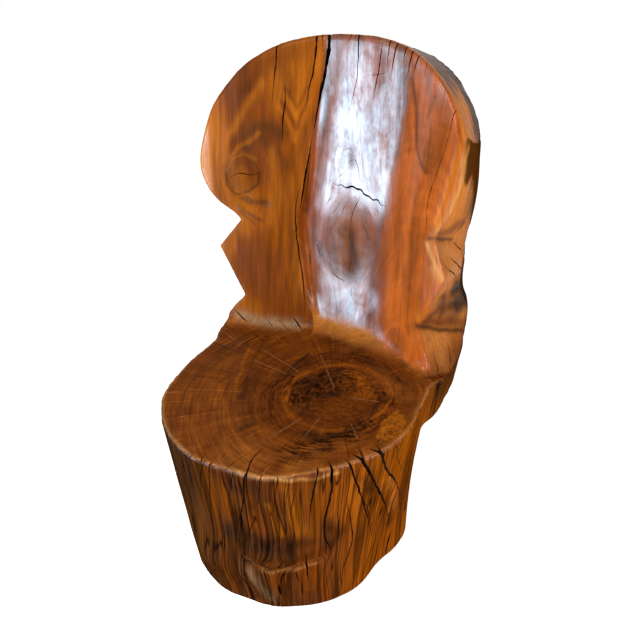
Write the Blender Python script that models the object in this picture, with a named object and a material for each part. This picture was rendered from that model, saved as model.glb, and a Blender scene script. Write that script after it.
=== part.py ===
"""Chair carved from one length of tree trunk, with its encased knots and filled checks.

Metres, +Z up. The origin lies on the floor under the middle of the seat. The sitter
faces -Y and the back rises at +Y.
"""
import math

import bpy
from mathutils import Vector

for leftover in list(bpy.data.objects):
    bpy.data.objects.remove(leftover, do_unlink=True)

# Log: a round drum under the seat that swells into the thicker log of the back
SEAT_HEIGHT = 0.418
SEAT_RADIUS = 0.280
BASE_RADIUS = 0.242
BASE_SHIFT_X = -0.031
BASE_SHIFT_Y = -0.011
BASE_CHAMFER = 0.006
RIM_ROUND = 0.006
UPPER_RADIUS = 0.372
UPPER_LEAN = 0.100
FLARE_LEFT = 0.260
FLARE_RIGHT = 0.090
FLARE_HEIGHT = 0.400
LOBE_BOTTOM = 0.288
LOBE_ROUND = 0.036
LOG_TOP = 1.120
FLUTE_DEPTH = 0.0013
FLANK_BULGE = 0.036
FLANK_HEIGHT = 0.475
FLANK_REACH_UP = 0.062
FLANK_REACH_DOWN = 0.125
FLANK_ANGLE = 38.0
FLANK_TURN = 0.82
WAIST_DEPTH = 0.009
WAIST_ANGLE = 18.0
WAIST_TURN = 0.50
SHELF_BULGE = 0.012
SHELF_HEIGHT = 0.120
SHELF_REACH = 0.055
SHELF_ANGLE = 262.0
SHELF_TURN = 0.80

# Back: a reclined face with a flatter left panel, a hollow centre and a forward right wing
FACE_RAKE = 0.176
FACE_DEPTH = 0.240
HALF_BACK = 0.280
CREASE_LOW_X = 0.226
CREASE_MID_X = 0.235
CREASE_HIGH_X = 0.300
CREASE_MID_Z = 0.700
CREASE_HIGH_Z = 0.950
STEP_WIDTH = 0.024
FILLET_SIDE = 0.030
FILLET_MIDDLE = 0.058
FILLET_NARROWS = 0.30
FILLET_NARROWED = 0.70
BACK_TOP = 1.057
EDGE_ROUND = 0.009
EDGE_CRISP = 0.004
EDGE_MILD = 0.016
EDGE_SOFT = 0.028

# Checks, knots and fillings
PITH_X = 0.103
PITH_Y = -0.011
FIT_GAP = 0.0003
OVERRUN = 0.040
CHECK_WIDTH = 0.0040
CHECK_DEPTH = 0.020
CHECK_TIP = 0.0008
CHECK_END = 0.02
CHECK_SWELL = 0.6
KNOT_SIZE = 0.040
KNOT_TAPER = 0.8
KNOT_RIPPLE = 0.04
SOCKET_DEPTH = 0.045
FILLER_WIDTH = 0.0036
FILLER_DEPTH = 0.012
PATCH_DEPTH = 0.018
PATCH_ANGLE = -24.0
PATCH_REACH = 0.148
PATCH_RADIUS = 0.050
BURL_KNOT_ANGLE = -75.0
BURL_KNOT_SHARE = 0.385
BURL_KNOT_HALF_WIDTH = 0.022
BURL_KNOT_HALF_HEIGHT = 0.017

# Reach of the cutters
CUTTER_REACH = 0.450
CUTTER_DEPTH = 0.420
BEND_DEPTH = 0.155
BEYOND_DROP = 0.360
HEAD_MIDDLE = 0.800
FRONT_OVERRUN = 0.150

# Colours and roughness
TRUNK_COLOUR = (0.30, 0.105, 0.028)
KNOT_COLOUR = (0.13, 0.040, 0.020)
FILLER_COLOUR = (0.50, 0.38, 0.26)
PATCH_COLOUR = (0.62, 0.20, 0.020)
TRUNK_ROUGHNESS = 0.28
KNOT_ROUGHNESS = 0.30
FILLER_ROUGHNESS = 0.40
PATCH_ROUGHNESS = 0.25

# Faceting
SHARP_ANGLE = 30.0
LOG_SIDES = 84
DRUM_ROWS = 9
LOBE_ROWS = 4
UPPER_ROWS = 9
RIM_STEPS = (0.0, 0.5, 0.85, 1.05)
KNOT_SIDES = 24
FILLET_STEPS = 5
EDGE_TURNS = (0.0, 35.0, 62.0, 90.0)
FACE_ROWS = 14
PANEL_COLUMN_SHARES = (0.0, 0.20, 0.32, 0.44, 0.56, 0.68, 0.79, 0.90, 1.0)
STEP_COLUMN_SHARES = (0.18, 0.36, 0.54, 0.74, 1.0)
HOLLOW_COLUMN_SHARES = (0.15, 0.30, 0.45, 0.60, 0.72, 0.84, 0.93, 1.0)
WING_COLUMN_SHARES = (0.10, 0.20, 0.32, 0.50, 1.0)

# Natural waves round the log: how many, share of FLUTE_DEPTH and phase
FLUTES = ((9, 1.0, 0.6), (14, 0.7, 2.1), (5, 0.5, 0.0))

# Shares of SEAT_RADIUS, BASE_RADIUS and UPPER_RADIUS against the angle from +X in degrees
SEAT_SHARES = ((0, 0.98), (15, 1.02), (40, 1.03), (90, 1.00), (130, 1.03), (148, 1.055), (160, 0.98),
               (173, 0.955), (200, 0.995), (222, 1.015), (250, 1.005), (268, 0.995), (282, 1.005),
               (308, 0.978), (333, 1.005), (346, 1.022))
BASE_SHARES = ((0, 1.02), (14, 1.08), (30, 1.04), (90, 0.98), (150, 1.00), (210, 1.01), (240, 1.00),
               (285, 0.99), (320, 1.00), (340, 0.965), (350, 0.97))
UPPER_SHARES = ((12, 0.745), (18, 0.765), (30, 0.860), (40, 0.980), (48, 1.040), (60, 1.030), (75, 1.000),
                (90, 0.990), (105, 0.985), (120, 0.970), (133, 0.935), (145, 0.875), (156, 0.790))
UPPER_START = 14.0
UPPER_END = 158.0
UPPER_BLEND = 8.0

# Depth of the back's face as shares of FACE_DEPTH, against shares of the half width at
# the left and shares of the crease's place at the right
LEFT_FACE_SHARES = ((-1.5, 0.770), (-1.0, 0.785), (-0.7, 0.800), (-0.45, 0.840), (-0.22, 0.888), (0.0, 0.922))
RIGHT_FACE_SHARES = ((-0.4, 0.972), (-0.2, 0.942), (0.0, 0.902), (0.3, 0.838), (0.52, 0.790), (0.64, 0.735),
                     (0.8, 0.650), (0.9, 0.592), (1.0, 0.530), (1.07, 0.505), (1.2, 0.500), (1.6, 0.520))
STEP_SHARES = ((0.0, -0.13), (0.12, -0.22), (0.28, -0.27), (0.39, -0.29), (0.52, -0.22), (0.72, -0.15),
               (1.0, -0.05), (1.2, -0.02))

# Outline of the back as seen from the front: share of HALF_BACK, share of the height
# above the seat, spread and drop of the cut per metre of depth, and edge radius
OUTLINE = (
    (-0.965, 0.014, 0.00, 0.36, EDGE_CRISP),
    (-0.940, 0.038, 0.00, 0.36, EDGE_CRISP),
    (-0.890, 0.065, 0.00, 0.36, EDGE_CRISP),
    (-0.775, 0.115, 0.00, 0.36, EDGE_CRISP),
    (-0.815, 0.148, 0.00, 0.36, EDGE_CRISP),
    (-0.990, 0.296, 0.00, 0.36, EDGE_CRISP),
    (-0.785, 0.400, 0.00, 0.36, EDGE_CRISP),
    (-0.840, 0.422, 0.00, 0.36, EDGE_CRISP),
    (-0.975, 0.458, 0.00, 0.36, EDGE_ROUND),
    (-1.065, 0.500, 0.00, 0.36, EDGE_ROUND),
    (-1.125, 0.560, 0.00, 0.36, EDGE_ROUND),
    (-1.125, 0.620, 0.00, 0.36, EDGE_ROUND),
    (-1.075, 0.700, 0.00, 0.36, EDGE_ROUND),
    (-0.990, 0.786, 0.00, 0.36, EDGE_ROUND),
    (-0.865, 0.852, 0.00, 0.36, EDGE_ROUND),
    (-0.715, 0.913, 0.00, 0.36, EDGE_ROUND),
    (-0.560, 0.952, 0.00, 0.36, EDGE_ROUND),
    (-0.400, 0.979, 0.00, 0.36, EDGE_ROUND),
    (-0.220, 0.995, 0.00, 0.36, EDGE_ROUND),
    (-0.020, 1.002, 0.00, 0.36, EDGE_ROUND),
    (0.190, 1.003, 0.02, 0.34, EDGE_ROUND),
    (0.390, 0.996, 0.04, 0.32, EDGE_ROUND),
    (0.580, 0.972, 0.06, 0.31, EDGE_ROUND),
    (0.730, 0.939, 0.06, 0.31, EDGE_ROUND),
    (0.870, 0.889, 0.06, 0.32, EDGE_ROUND),
    (0.985, 0.829, 0.05, 0.34, EDGE_MILD),
    (1.065, 0.762, 0.04, 0.36, EDGE_SOFT),
    (1.100, 0.720, 0.04, 0.38, EDGE_SOFT),
    (1.090, 0.670, 0.06, 0.40, EDGE_SOFT),
    (1.050, 0.600, 0.12, 0.43, EDGE_SOFT),
    (0.985, 0.520, 0.19, 0.46, EDGE_MILD),
    (0.903, 0.448, 0.25, 0.48, EDGE_CRISP),
    (1.003, 0.324, 0.06, 0.02, EDGE_CRISP),
    (0.803, 0.153, 0.52, 0.56, EDGE_CRISP),
    (0.900, 0.040, 0.50, 0.46, EDGE_CRISP),
    (0.943, -0.010, 0.48, 0.36, EDGE_CRISP),
)


# Irregular outline of the filled pocket: angle and share of PATCH_RADIUS
PATCH_SHARES = ((0, 0.50), (35, 0.62), (70, 0.80), (95, 1.15), (125, 0.62), (165, 0.50), (200, 0.42),
                (235, 0.75), (258, 1.05), (285, 0.72), (320, 0.50))

# Checks of the back: stations as shares of HALF_BACK and of the height above the seat,
# then shares of CHECK_WIDTH and CHECK_DEPTH, and whether the check runs out through the top
FACE_CHECKS = (
    ("check_main", ((-0.050, 1.010), (-0.100, 0.860), (-0.146, 0.715), (-0.190, 0.585), (-0.225, 0.500),
                    (-0.245, 0.410)), 2.12, 2.0, True),
    ("check_branch", ((-0.200, 0.570), (-0.290, 0.490), (-0.300, 0.400), (-0.270, 0.240),
                      (-0.235, 0.110)), 1.0, 1.1, False),
    ("check_top_left", ((-0.130, 0.985), (-0.165, 0.900), (-0.195, 0.770)), 1.0, 1.1, True),
    ("check_left_upper", ((-0.430, 0.958), (-0.440, 0.880), (-0.440, 0.800)), 0.7, 0.7, True),
    ("check_left_lower", ((-0.380, 0.850), (-0.395, 0.770), (-0.395, 0.680)), 0.55, 0.6, False),
    ("check_top_centre", ((0.180, 1.005), (0.150, 0.900), (0.080, 0.760)), 0.7, 0.9, True),
    ("check_top_right", ((0.370, 0.990), (0.330, 0.900), (0.290, 0.800)), 0.7, 0.8, True),
    ("check_wing_inner", ((0.470, 0.975), (0.440, 0.880)), 0.6, 0.7, True),
    ("check_wing_outer", ((0.670, 0.935), (0.610, 0.860)), 0.6, 0.7, True),
)

# Checks of the drum: stations as an angle and a share of SEAT_HEIGHT, then shares of
# CHECK_WIDTH and CHECK_DEPTH
DRUM_CHECKS = (
    ("check_drum_1", ((-100, 1.03), (-106, 0.75), (-111, 0.47), (-112, 0.20)), 0.75, 0.8),
    ("check_drum_2", ((-88, 1.03), (-90, 0.82), (-94, 0.58), (-100, 0.40), (-101, 0.20)), 1.12, 1.2),
    ("check_drum_3", ((-57, 1.03), (-62, 0.76), (-63, 0.60)), 0.75, 0.8),
    ("check_drum_4", ((-52, 0.94), (-55, 0.73), (-56, 0.55), (-53, 0.44), (-58, 0.25)), 1.0, 1.0),
    ("check_drum_5", ((-44, 1.03), (-39, 0.80), (-32, 0.45)), 1.12, 1.2),
    ("check_drum_6", ((-38, 1.03), (-34, 0.83), (-21, 0.47), (-20, 0.36)), 1.12, 1.2),
    ("check_drum_7", ((-31, 1.03), (-26, 0.85), (-10, 0.52)), 1.0, 1.1),
    ("check_drum_8", ((-65, 0.47), (-65, 0.34), (-66, 0.14)), 1.0, 1.0),
)

# Radial checks of the seat: angle about the pith, inner and outer reach as shares of
# SEAT_RADIUS, then shares of CHECK_WIDTH and CHECK_DEPTH
SEAT_CHECKS = (
    ("check_seat_1", -111.5, 0.715, 1.070, 1.0, 1.0),
    ("check_seat_2", -70.0, 0.660, 1.070, 0.88, 0.9),
    ("check_seat_3", -55.0, 0.600, 0.965, 0.88, 0.9),
)

# Encased knots: place on the face as shares of HALF_BACK and of the height above the
# seat, then half width and half height as shares of KNOT_SIZE
FACE_KNOTS = (
    ("knot_back_left", -0.745, 0.565, 1.02, 1.10),
    ("knot_back_upper", 0.125, 0.622, 0.45, 0.58),
    ("knot_back_centre", 0.150, 0.360, 1.55, 2.30),
    ("knot_back_right", 0.610, 0.053, 0.65, 0.75),
)

# Filled checks of the seat: angle about the pith, inner and outer reach as shares of SEAT_RADIUS
FILLERS = (
    ("filler_seat_1", 154.5, 0.446, 0.936),
    ("filler_seat_2", 164.0, 0.500, 0.839),
    ("filler_seat_3", 126.0, 0.107, 0.554),
    ("filler_seat_4", 4.5, 0.107, 0.314),
    ("filler_seat_5", -52.5, 0.329, 0.500),
    ("filler_seat_6", -96.0, 0.286, 0.482),
    ("filler_seat_7", -115.5, 0.357, 0.643),
)


def smooth(share):
    """Ease a share between 0 and 1."""
    held = min(max(share, 0.0), 1.0)
    return held * held * (3.0 - 2.0 * held)


def blend(low, high, share):
    """The value a share of the way from low to high."""
    return low + (high - low) * share


def read_curve(points, place):
    """Read a table of (place, value) points along a smooth curve that holds still past its ends."""
    if place <= points[0][0]:
        return points[0][1]
    if place >= points[-1][0]:
        return points[-1][1]
    index = max(i for i in range(len(points) - 1) if points[i][0] <= place)
    start, low = points[index]
    end, high = points[index + 1]
    before, below = points[max(index - 1, 0)]
    after, above = points[min(index + 2, len(points) - 1)]
    span = end - start
    share = (place - start) / span
    rise_in = span * (high - below) / (end - before)
    rise_out = span * (above - low) / (after - start)
    square = share * share
    cube = square * share
    return ((2.0 * cube - 3.0 * square + 1.0) * low + (cube - 2.0 * square + share) * rise_in
            + (3.0 * square - 2.0 * cube) * high + (cube - square) * rise_out)


def read_round_curve(points, degrees):
    """Read a table of (angle, value) points all the way round."""
    before = [(angle - 360.0, value) for angle, value in points[-2:]]
    after = [(angle + 360.0, value) for angle, value in points[:2]]
    return read_curve(before + list(points) + after, degrees % 360.0)


def flutes(degrees):
    """Shallow natural waves round the log."""
    angle = math.radians(degrees)
    return FLUTE_DEPTH * sum(share * math.sin(count * angle + phase) for count, share, phase in FLUTES)


def flank(degrees, height):
    """The swelling of the right flank at the height of the lower notch."""
    turn = math.cos(math.radians(degrees - FLANK_ANGLE))
    up = (height - FLANK_HEIGHT) / (FLANK_REACH_UP if height > FLANK_HEIGHT else FLANK_REACH_DOWN)
    return FLANK_BULGE * smooth((turn - FLANK_TURN) / (1.0 - FLANK_TURN)) * math.exp(-up * up)


def waist(degrees, height):
    """The slight hollow of the drum's right side between the floor and the seat."""
    turn = math.cos(math.radians(degrees - WAIST_ANGLE))
    share = smooth((turn - WAIST_TURN) / (1.0 - WAIST_TURN))
    return WAIST_DEPTH * share * math.sin(math.pi * min(height / SEAT_HEIGHT, 1.0))


def shelf(degrees, height):
    """The burl that swells out of the front of the drum near the floor."""
    turn = math.cos(math.radians(degrees - SHELF_ANGLE))
    across = smooth((turn - SHELF_TURN) / (1.0 - SHELF_TURN))
    up = (height - SHELF_HEIGHT) / SHELF_REACH
    return SHELF_BULGE * across * math.exp(-up * up)


def opening(degrees):
    """Share of the thicker upper log at an angle: 1 behind the seat and 0 in front."""
    return smooth((degrees - UPPER_START) / UPPER_BLEND) * smooth((UPPER_END - degrees) / UPPER_BLEND)


def log_point(degrees, height):
    """A point of the natural outer surface of the log."""
    angle = math.radians(degrees)
    out = Vector((math.cos(angle), math.sin(angle), 0.0))
    climb = min(height / SEAT_HEIGHT, 1.0)
    base = out * BASE_RADIUS * read_round_curve(BASE_SHARES, degrees) + Vector((BASE_SHIFT_X, BASE_SHIFT_Y, 0.0))
    seat = out * SEAT_RADIUS * read_round_curve(SEAT_SHARES, degrees)
    relief = flutes(degrees) + shelf(degrees, height) - waist(degrees, height)
    drum = base.lerp(seat, climb) + out * relief
    above = max(height - SEAT_HEIGHT, 0.0)
    flare = 1.0 + blend(FLARE_LEFT, FLARE_RIGHT, 0.5 + 0.5 * out.x) * smooth(above / FLARE_HEIGHT)
    reach = UPPER_RADIUS * read_curve(UPPER_SHARES, degrees) * flare
    upper = out * (reach + flank(degrees, height) + flutes(degrees))
    upper.y += UPPER_LEAN * above
    share = opening(degrees) * smooth((height - LOBE_BOTTOM) / LOBE_ROUND)
    point = drum.lerp(upper, share)
    point.z = height
    return point


def rim_inset(height):
    """How far the seat's rounded rim draws in just under the seat."""
    drop = SEAT_HEIGHT - height
    if abs(drop) >= RIM_ROUND:
        return 0.0
    return RIM_ROUND - math.sqrt(RIM_ROUND ** 2 - (RIM_ROUND - max(drop, 0.0)) ** 2)


def crease_x(height):
    """Where the right wing of the face folds into its outer facet."""
    if height < CREASE_MID_Z:
        share = (height - SEAT_HEIGHT) / (CREASE_MID_Z - SEAT_HEIGHT)
        return blend(CREASE_LOW_X, CREASE_MID_X, max(share, 0.0))
    share = (height - CREASE_MID_Z) / (CREASE_HIGH_Z - CREASE_MID_Z)
    return blend(CREASE_MID_X, CREASE_HIGH_X, min(share, 1.0))


def step_x(height):
    """Where the left panel steps back to the hollow centre."""
    return HALF_BACK * read_curve(STEP_SHARES, (height - SEAT_HEIGHT) / (BACK_TOP - SEAT_HEIGHT))


def face_y(x, height):
    """Depth of the back's reclined, hollowed face."""
    left = read_curve(LEFT_FACE_SHARES, x / HALF_BACK) * FACE_DEPTH
    right = read_curve(RIGHT_FACE_SHARES, x / crease_x(height)) * FACE_DEPTH
    centre = smooth((x - step_x(height)) / STEP_WIDTH)
    return blend(left, right, centre) + FACE_RAKE * (height - SEAT_HEIGHT)


def volume(points, faces):
    """Signed volume of a closed mesh."""
    total = 0.0
    for face in faces:
        corners = [points[i] for i in face]
        for second, third in zip(corners[1:], corners[2:]):
            total += corners[0].dot(second.cross(third)) / 6.0
    return total


def mesh_object(name, points, faces):
    """An object of a closed mesh given by its points and faces, turned outwards."""
    if volume(points, faces) < 0.0:
        faces = [tuple(reversed(face)) for face in faces]
    mesh = bpy.data.meshes.new(name)
    mesh.from_pydata([tuple(point) for point in points], [], faces)
    piece = bpy.data.objects.new(name, mesh)
    bpy.context.scene.collection.objects.link(piece)
    return piece


def loft(name, sections):
    """A closed solid through a row of sections, each a loop with the same point count.

    Its sides are triangles, because a cut needs faces that are truly flat.
    """
    size = len(sections[0])
    points = [point for section in sections for point in section]
    faces = []
    for row in range(len(sections) - 1):
        for i in range(size):
            j = (i + 1) % size
            near = row * size
            far = near + size
            faces.append((near + i, near + j, far + j))
            faces.append((near + i, far + j, far + i))
    faces.append(tuple(reversed(range(size))))
    last = (len(sections) - 1) * size
    faces.append(tuple(last + i for i in range(size)))
    return mesh_object(name, points, faces)


def guide(piece):
    """Mark an object as a cutter or a guide, which isn't part of the chair."""
    piece.hide_render = True
    piece.display_type = 'WIRE'
    return piece


def boolean(piece, tool, operation):
    """Add a Boolean of a piece with a tool."""
    modifier = piece.modifiers.new(tool.name, 'BOOLEAN')
    modifier.operation = operation
    modifier.object = tool


def settle(piece, material):
    """Turn a carved piece into a plain mesh, smooth but for its sharp edges, in its own material."""
    carved = piece.evaluated_get(bpy.context.evaluated_depsgraph_get())
    mesh = bpy.data.meshes.new_from_object(carved)
    mesh.name = piece.name
    mesh.shade_smooth()
    mesh.set_sharp_from_angle(angle=math.radians(SHARP_ANGLE))
    mesh.materials.clear()
    mesh.materials.append(material)
    piece.modifiers.clear()
    piece.data = mesh


def wood(name, colour, roughness):
    """A plain varnished wood."""
    material = bpy.data.materials.new(name)
    material.use_nodes = True
    shader = material.node_tree.nodes["Principled BSDF"]
    shader.inputs["Base Color"].default_value = (*colour, 1.0)
    shader.inputs["Roughness"].default_value = roughness
    shader.inputs["Metallic"].default_value = 0.0
    return material


def make_log(name):
    """The log before it is carved."""
    sections = []
    low = [0.0, BASE_CHAMFER]
    low += [blend(BASE_CHAMFER, LOBE_BOTTOM, (row + 1) / DRUM_ROWS) for row in range(DRUM_ROWS)]
    lobe = [LOBE_BOTTOM + LOBE_ROUND * (row + 1) / LOBE_ROWS for row in range(LOBE_ROWS)]
    middle = [blend(lobe[-1], SEAT_HEIGHT - RIM_ROUND, 0.5)]
    rim = [SEAT_HEIGHT - RIM_ROUND * (1.0 - step) for step in RIM_STEPS]
    upper = [blend(SEAT_HEIGHT, LOG_TOP, (row + 1) / UPPER_ROWS) for row in range(UPPER_ROWS)]
    for height in low + lobe + middle + rim + upper:
        section = []
        for side in range(LOG_SIDES):
            degrees = 360.0 * side / LOG_SIDES
            angle = math.radians(degrees)
            inset = rim_inset(height) * (1.0 - opening(degrees))
            if height == 0.0:
                inset = BASE_CHAMFER
            section.append(log_point(degrees, height) - Vector((math.cos(angle), math.sin(angle), 0.0)) * inset)
        sections.append(section)
    return loft(name, sections)


def face_columns(height):
    """Places of the face's columns from left to right, which follow the step and the crease."""
    step = step_x(height)
    crease = crease_x(height)
    columns = [blend(-CUTTER_REACH, step, share) for share in PANEL_COLUMN_SHARES]
    columns += [step + STEP_WIDTH * share for share in STEP_COLUMN_SHARES]
    columns += [blend(step + STEP_WIDTH, crease, share) for share in HOLLOW_COLUMN_SHARES]
    columns += [blend(crease, CUTTER_REACH, share) for share in WING_COLUMN_SHARES]
    return columns


def seat_cutter():
    """What is cut away over the seat and in front of the back, with the fillet between."""
    top = LOG_TOP + OVERRUN
    low_columns = face_columns(SEAT_HEIGHT)
    high_columns = face_columns(top)
    sections = []
    for index, x in enumerate(low_columns):
        fillet = FILLET_SIDE
        if x > step_x(SEAT_HEIGHT):
            share = smooth((x / HALF_BACK - FILLET_NARROWS) / (FILLET_NARROWED - FILLET_NARROWS))
            fillet = blend(FILLET_MIDDLE, FILLET_SIDE, share)
        end_height = SEAT_HEIGHT + fillet
        end_x = face_columns(end_height)[index]
        start = Vector((x, face_y(x, SEAT_HEIGHT) - fillet, SEAT_HEIGHT))
        corner = Vector((x, face_y(x, SEAT_HEIGHT), SEAT_HEIGHT))
        end = Vector((end_x, face_y(end_x, end_height), end_height))
        section = [Vector((x, -CUTTER_REACH, SEAT_HEIGHT))]
        for step in range(FILLET_STEPS + 1):
            share = step / FILLET_STEPS
            section.append(start.lerp(corner, share).lerp(corner.lerp(end, share), share))
        for row in range(FACE_ROWS):
            height = blend(end_height, top, (row + 1) / FACE_ROWS)
            row_x = face_columns(height)[index]
            section.append(Vector((row_x, face_y(row_x, height), height)))
        section.append(Vector((high_columns[index], -CUTTER_REACH, top)))
        sections.append(section)
    return guide(loft("cut_seat_and_face", sections))


def outline_cutter():
    """What is cut away round the back's outline: its dome, notches and teeth."""
    places = []
    for across, up, spread, drop, edge in OUTLINE:
        x = across * HALF_BACK
        z = SEAT_HEIGHT + up * (BACK_TOP - SEAT_HEIGHT)
        places.append((x, z, Vector((spread, 1.0, -drop)), edge))
    beyond = Vector((0.0, 1.0, -BEYOND_DROP))
    sections = []
    for x, z, away, edge in places:
        point = Vector((x, face_y(x, z), z))
        if z < HEAD_MIDDLE:
            out = Vector((math.copysign(1.0, x), 0.0, 0.0))
        else:
            out = Vector((x, 0.0, z - HEAD_MIDDLE)).normalized()
        far = out * CUTTER_REACH
        deep = point + away * BEND_DEPTH
        end = deep + beyond * (CUTTER_DEPTH - BEND_DEPTH)
        rounded = []
        for degrees in EDGE_TURNS:
            turn = math.radians(degrees)
            rounded.append(point - out * edge * (1 - math.sin(turn)) + away * edge * (1 - math.cos(turn)))
        sections.append([
            point - out * edge - away * FRONT_OVERRUN,
            *rounded,
            deep,
            end,
            end + far,
            deep + far,
            point - away * FRONT_OVERRUN + far,
        ])
    return guide(loft("cut_outline", sections))


def wedge(name, rows):
    """A check: rows of (point on the surface, outward direction, sideways direction, width, depth)."""
    sections = []
    for point, out, side, width, depth in rows:
        slope = 1.0 + OVERRUN / depth
        half = side * 0.5 * max(width, CHECK_TIP) * slope
        mouth = point + out * OVERRUN
        sections.append([mouth - half, mouth + half, point - out * depth])
    return guide(loft(name, sections))


def swell(share):
    """Width of a check along its length: fine at both ends."""
    return math.sin(math.pi * min(max(share, CHECK_END), 1.0 - CHECK_END)) ** CHECK_SWELL


def face_check(name, stations, width, depth, open_top):
    """A check that runs down the back's face, through (share of half width, share of height) stations."""
    rows = []
    out = Vector((0.0, -1.0, FACE_RAKE)).normalized()
    side = Vector((1.0, 0.0, 0.0))
    last = len(stations) - 1
    for index, (across, up) in enumerate(stations):
        x = across * HALF_BACK
        z = SEAT_HEIGHT + up * (BACK_TOP - SEAT_HEIGHT)
        share = index / last
        if open_top:
            share = 0.5 + 0.5 * share
        point = Vector((x, face_y(x, z), z))
        rows.append((point, out, side, CHECK_WIDTH * width * swell(share), CHECK_DEPTH * depth))
    return wedge(name, rows)


def drum_check(name, stations, width, depth):
    """A check that runs down the drum from the seat's rim, through (angle, share of height) stations."""
    rows = []
    last = len(stations) - 1
    middle = math.radians(0.5 * (stations[0][0] + stations[last][0]))
    out = Vector((math.cos(middle), math.sin(middle), 0.0))
    side = Vector((-out.y, out.x, 0.0))
    for index, (degrees, up) in enumerate(stations):
        share = 0.5 + 0.5 * index / last
        point = log_point(degrees % 360.0, up * SEAT_HEIGHT)
        rows.append((point, out, side, CHECK_WIDTH * width * swell(share), CHECK_DEPTH * depth))
    return wedge(name, rows)


def seat_place(degrees, reach):
    """A point of the seat at an angle about the pith and a distance from it."""
    angle = math.radians(degrees)
    return Vector((PITH_X + reach * math.cos(angle), PITH_Y + reach * math.sin(angle), SEAT_HEIGHT))


def seat_check(name, degrees, inner, outer, width, depth):
    """A radial check of the seat's end grain that opens towards the rim."""
    up = Vector((0.0, 0.0, 1.0))
    start = seat_place(degrees, inner * SEAT_RADIUS)
    end = seat_place(degrees, outer * SEAT_RADIUS)
    along = (end - start).normalized()
    side = Vector((-along.y, along.x, 0.0))
    rows = []
    for share in (0.0, 0.5, 1.0):
        opened = CHECK_WIDTH * width * share ** CHECK_SWELL
        rows.append((start.lerp(end, share), up, side, opened, CHECK_DEPTH * depth))
    return wedge(name, rows)


def oval_prism(name, centre, inwards, radius_x, radius_z, gap):
    """A tapered oval prism that goes into the wood, smaller all round by a gap."""
    across = Vector((-inwards.y, inwards.x, 0.0)).normalized()
    upright = across.cross(inwards).normalized()
    sections = []
    for reach, share in ((-OVERRUN, 1.0), (0.0, 1.0), (SOCKET_DEPTH - gap, KNOT_TAPER)):
        loop = []
        for side in range(KNOT_SIDES):
            turn = 2.0 * math.pi * side / KNOT_SIDES
            ripple = 1.0 + KNOT_RIPPLE * math.sin(3 * turn + 1.0)
            loop.append(centre + inwards * reach
                        + across * (radius_x * share * ripple - gap) * math.cos(turn)
                        + upright * (radius_z * share * ripple - gap) * math.sin(turn))
        sections.append(loop)
    return loft(name, sections)


def strip_prism(name, degrees, inner, outer, gap):
    """A thin strip that lies in a radial slot of the seat, smaller all round by a gap."""
    start = seat_place(degrees, inner * SEAT_RADIUS + gap)
    end = seat_place(degrees, outer * SEAT_RADIUS - gap)
    along = (end - start).normalized()
    side = Vector((-along.y, along.x, 0.0)) * (0.5 * FILLER_WIDTH - gap)
    sections = []
    for height in (-FILLER_DEPTH + gap, OVERRUN):
        lift = Vector((0.0, 0.0, height))
        sections.append([start - side + lift, start + side + lift, end + side + lift, end - side + lift])
    return loft(name, sections)


def patch_prism(name, gap):
    """The filled bark pocket near the seat's right rim, smaller all round by a gap."""
    middle = seat_place(PATCH_ANGLE, PATCH_REACH)
    sections = []
    for height in (-PATCH_DEPTH + gap, OVERRUN):
        loop = []
        for degrees, share in PATCH_SHARES:
            angle = math.radians(degrees)
            reach = PATCH_RADIUS * share - gap
            loop.append(middle + Vector((reach * math.cos(angle), reach * math.sin(angle), height)))
        sections.append(loop)
    return loft(name, sections)


def knot_places():
    """Name, centre, inward direction and half sizes of each knot."""
    places = []
    inwards = Vector((0.0, 1.0, -FACE_RAKE)).normalized()
    for name, across, up, half_width, half_height in FACE_KNOTS:
        x = across * HALF_BACK
        z = SEAT_HEIGHT + up * (BACK_TOP - SEAT_HEIGHT)
        centre = Vector((x, face_y(x, z), z))
        places.append((name, centre, inwards, half_width * KNOT_SIZE, half_height * KNOT_SIZE))
    angle = math.radians(BURL_KNOT_ANGLE)
    inwards = Vector((-math.cos(angle), -math.sin(angle), 0.0))
    centre = log_point(BURL_KNOT_ANGLE % 360.0, BURL_KNOT_SHARE * SEAT_HEIGHT)
    places.append(("knot_drum", centre, inwards, BURL_KNOT_HALF_WIDTH, BURL_KNOT_HALF_HEIGHT))
    return places


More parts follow.
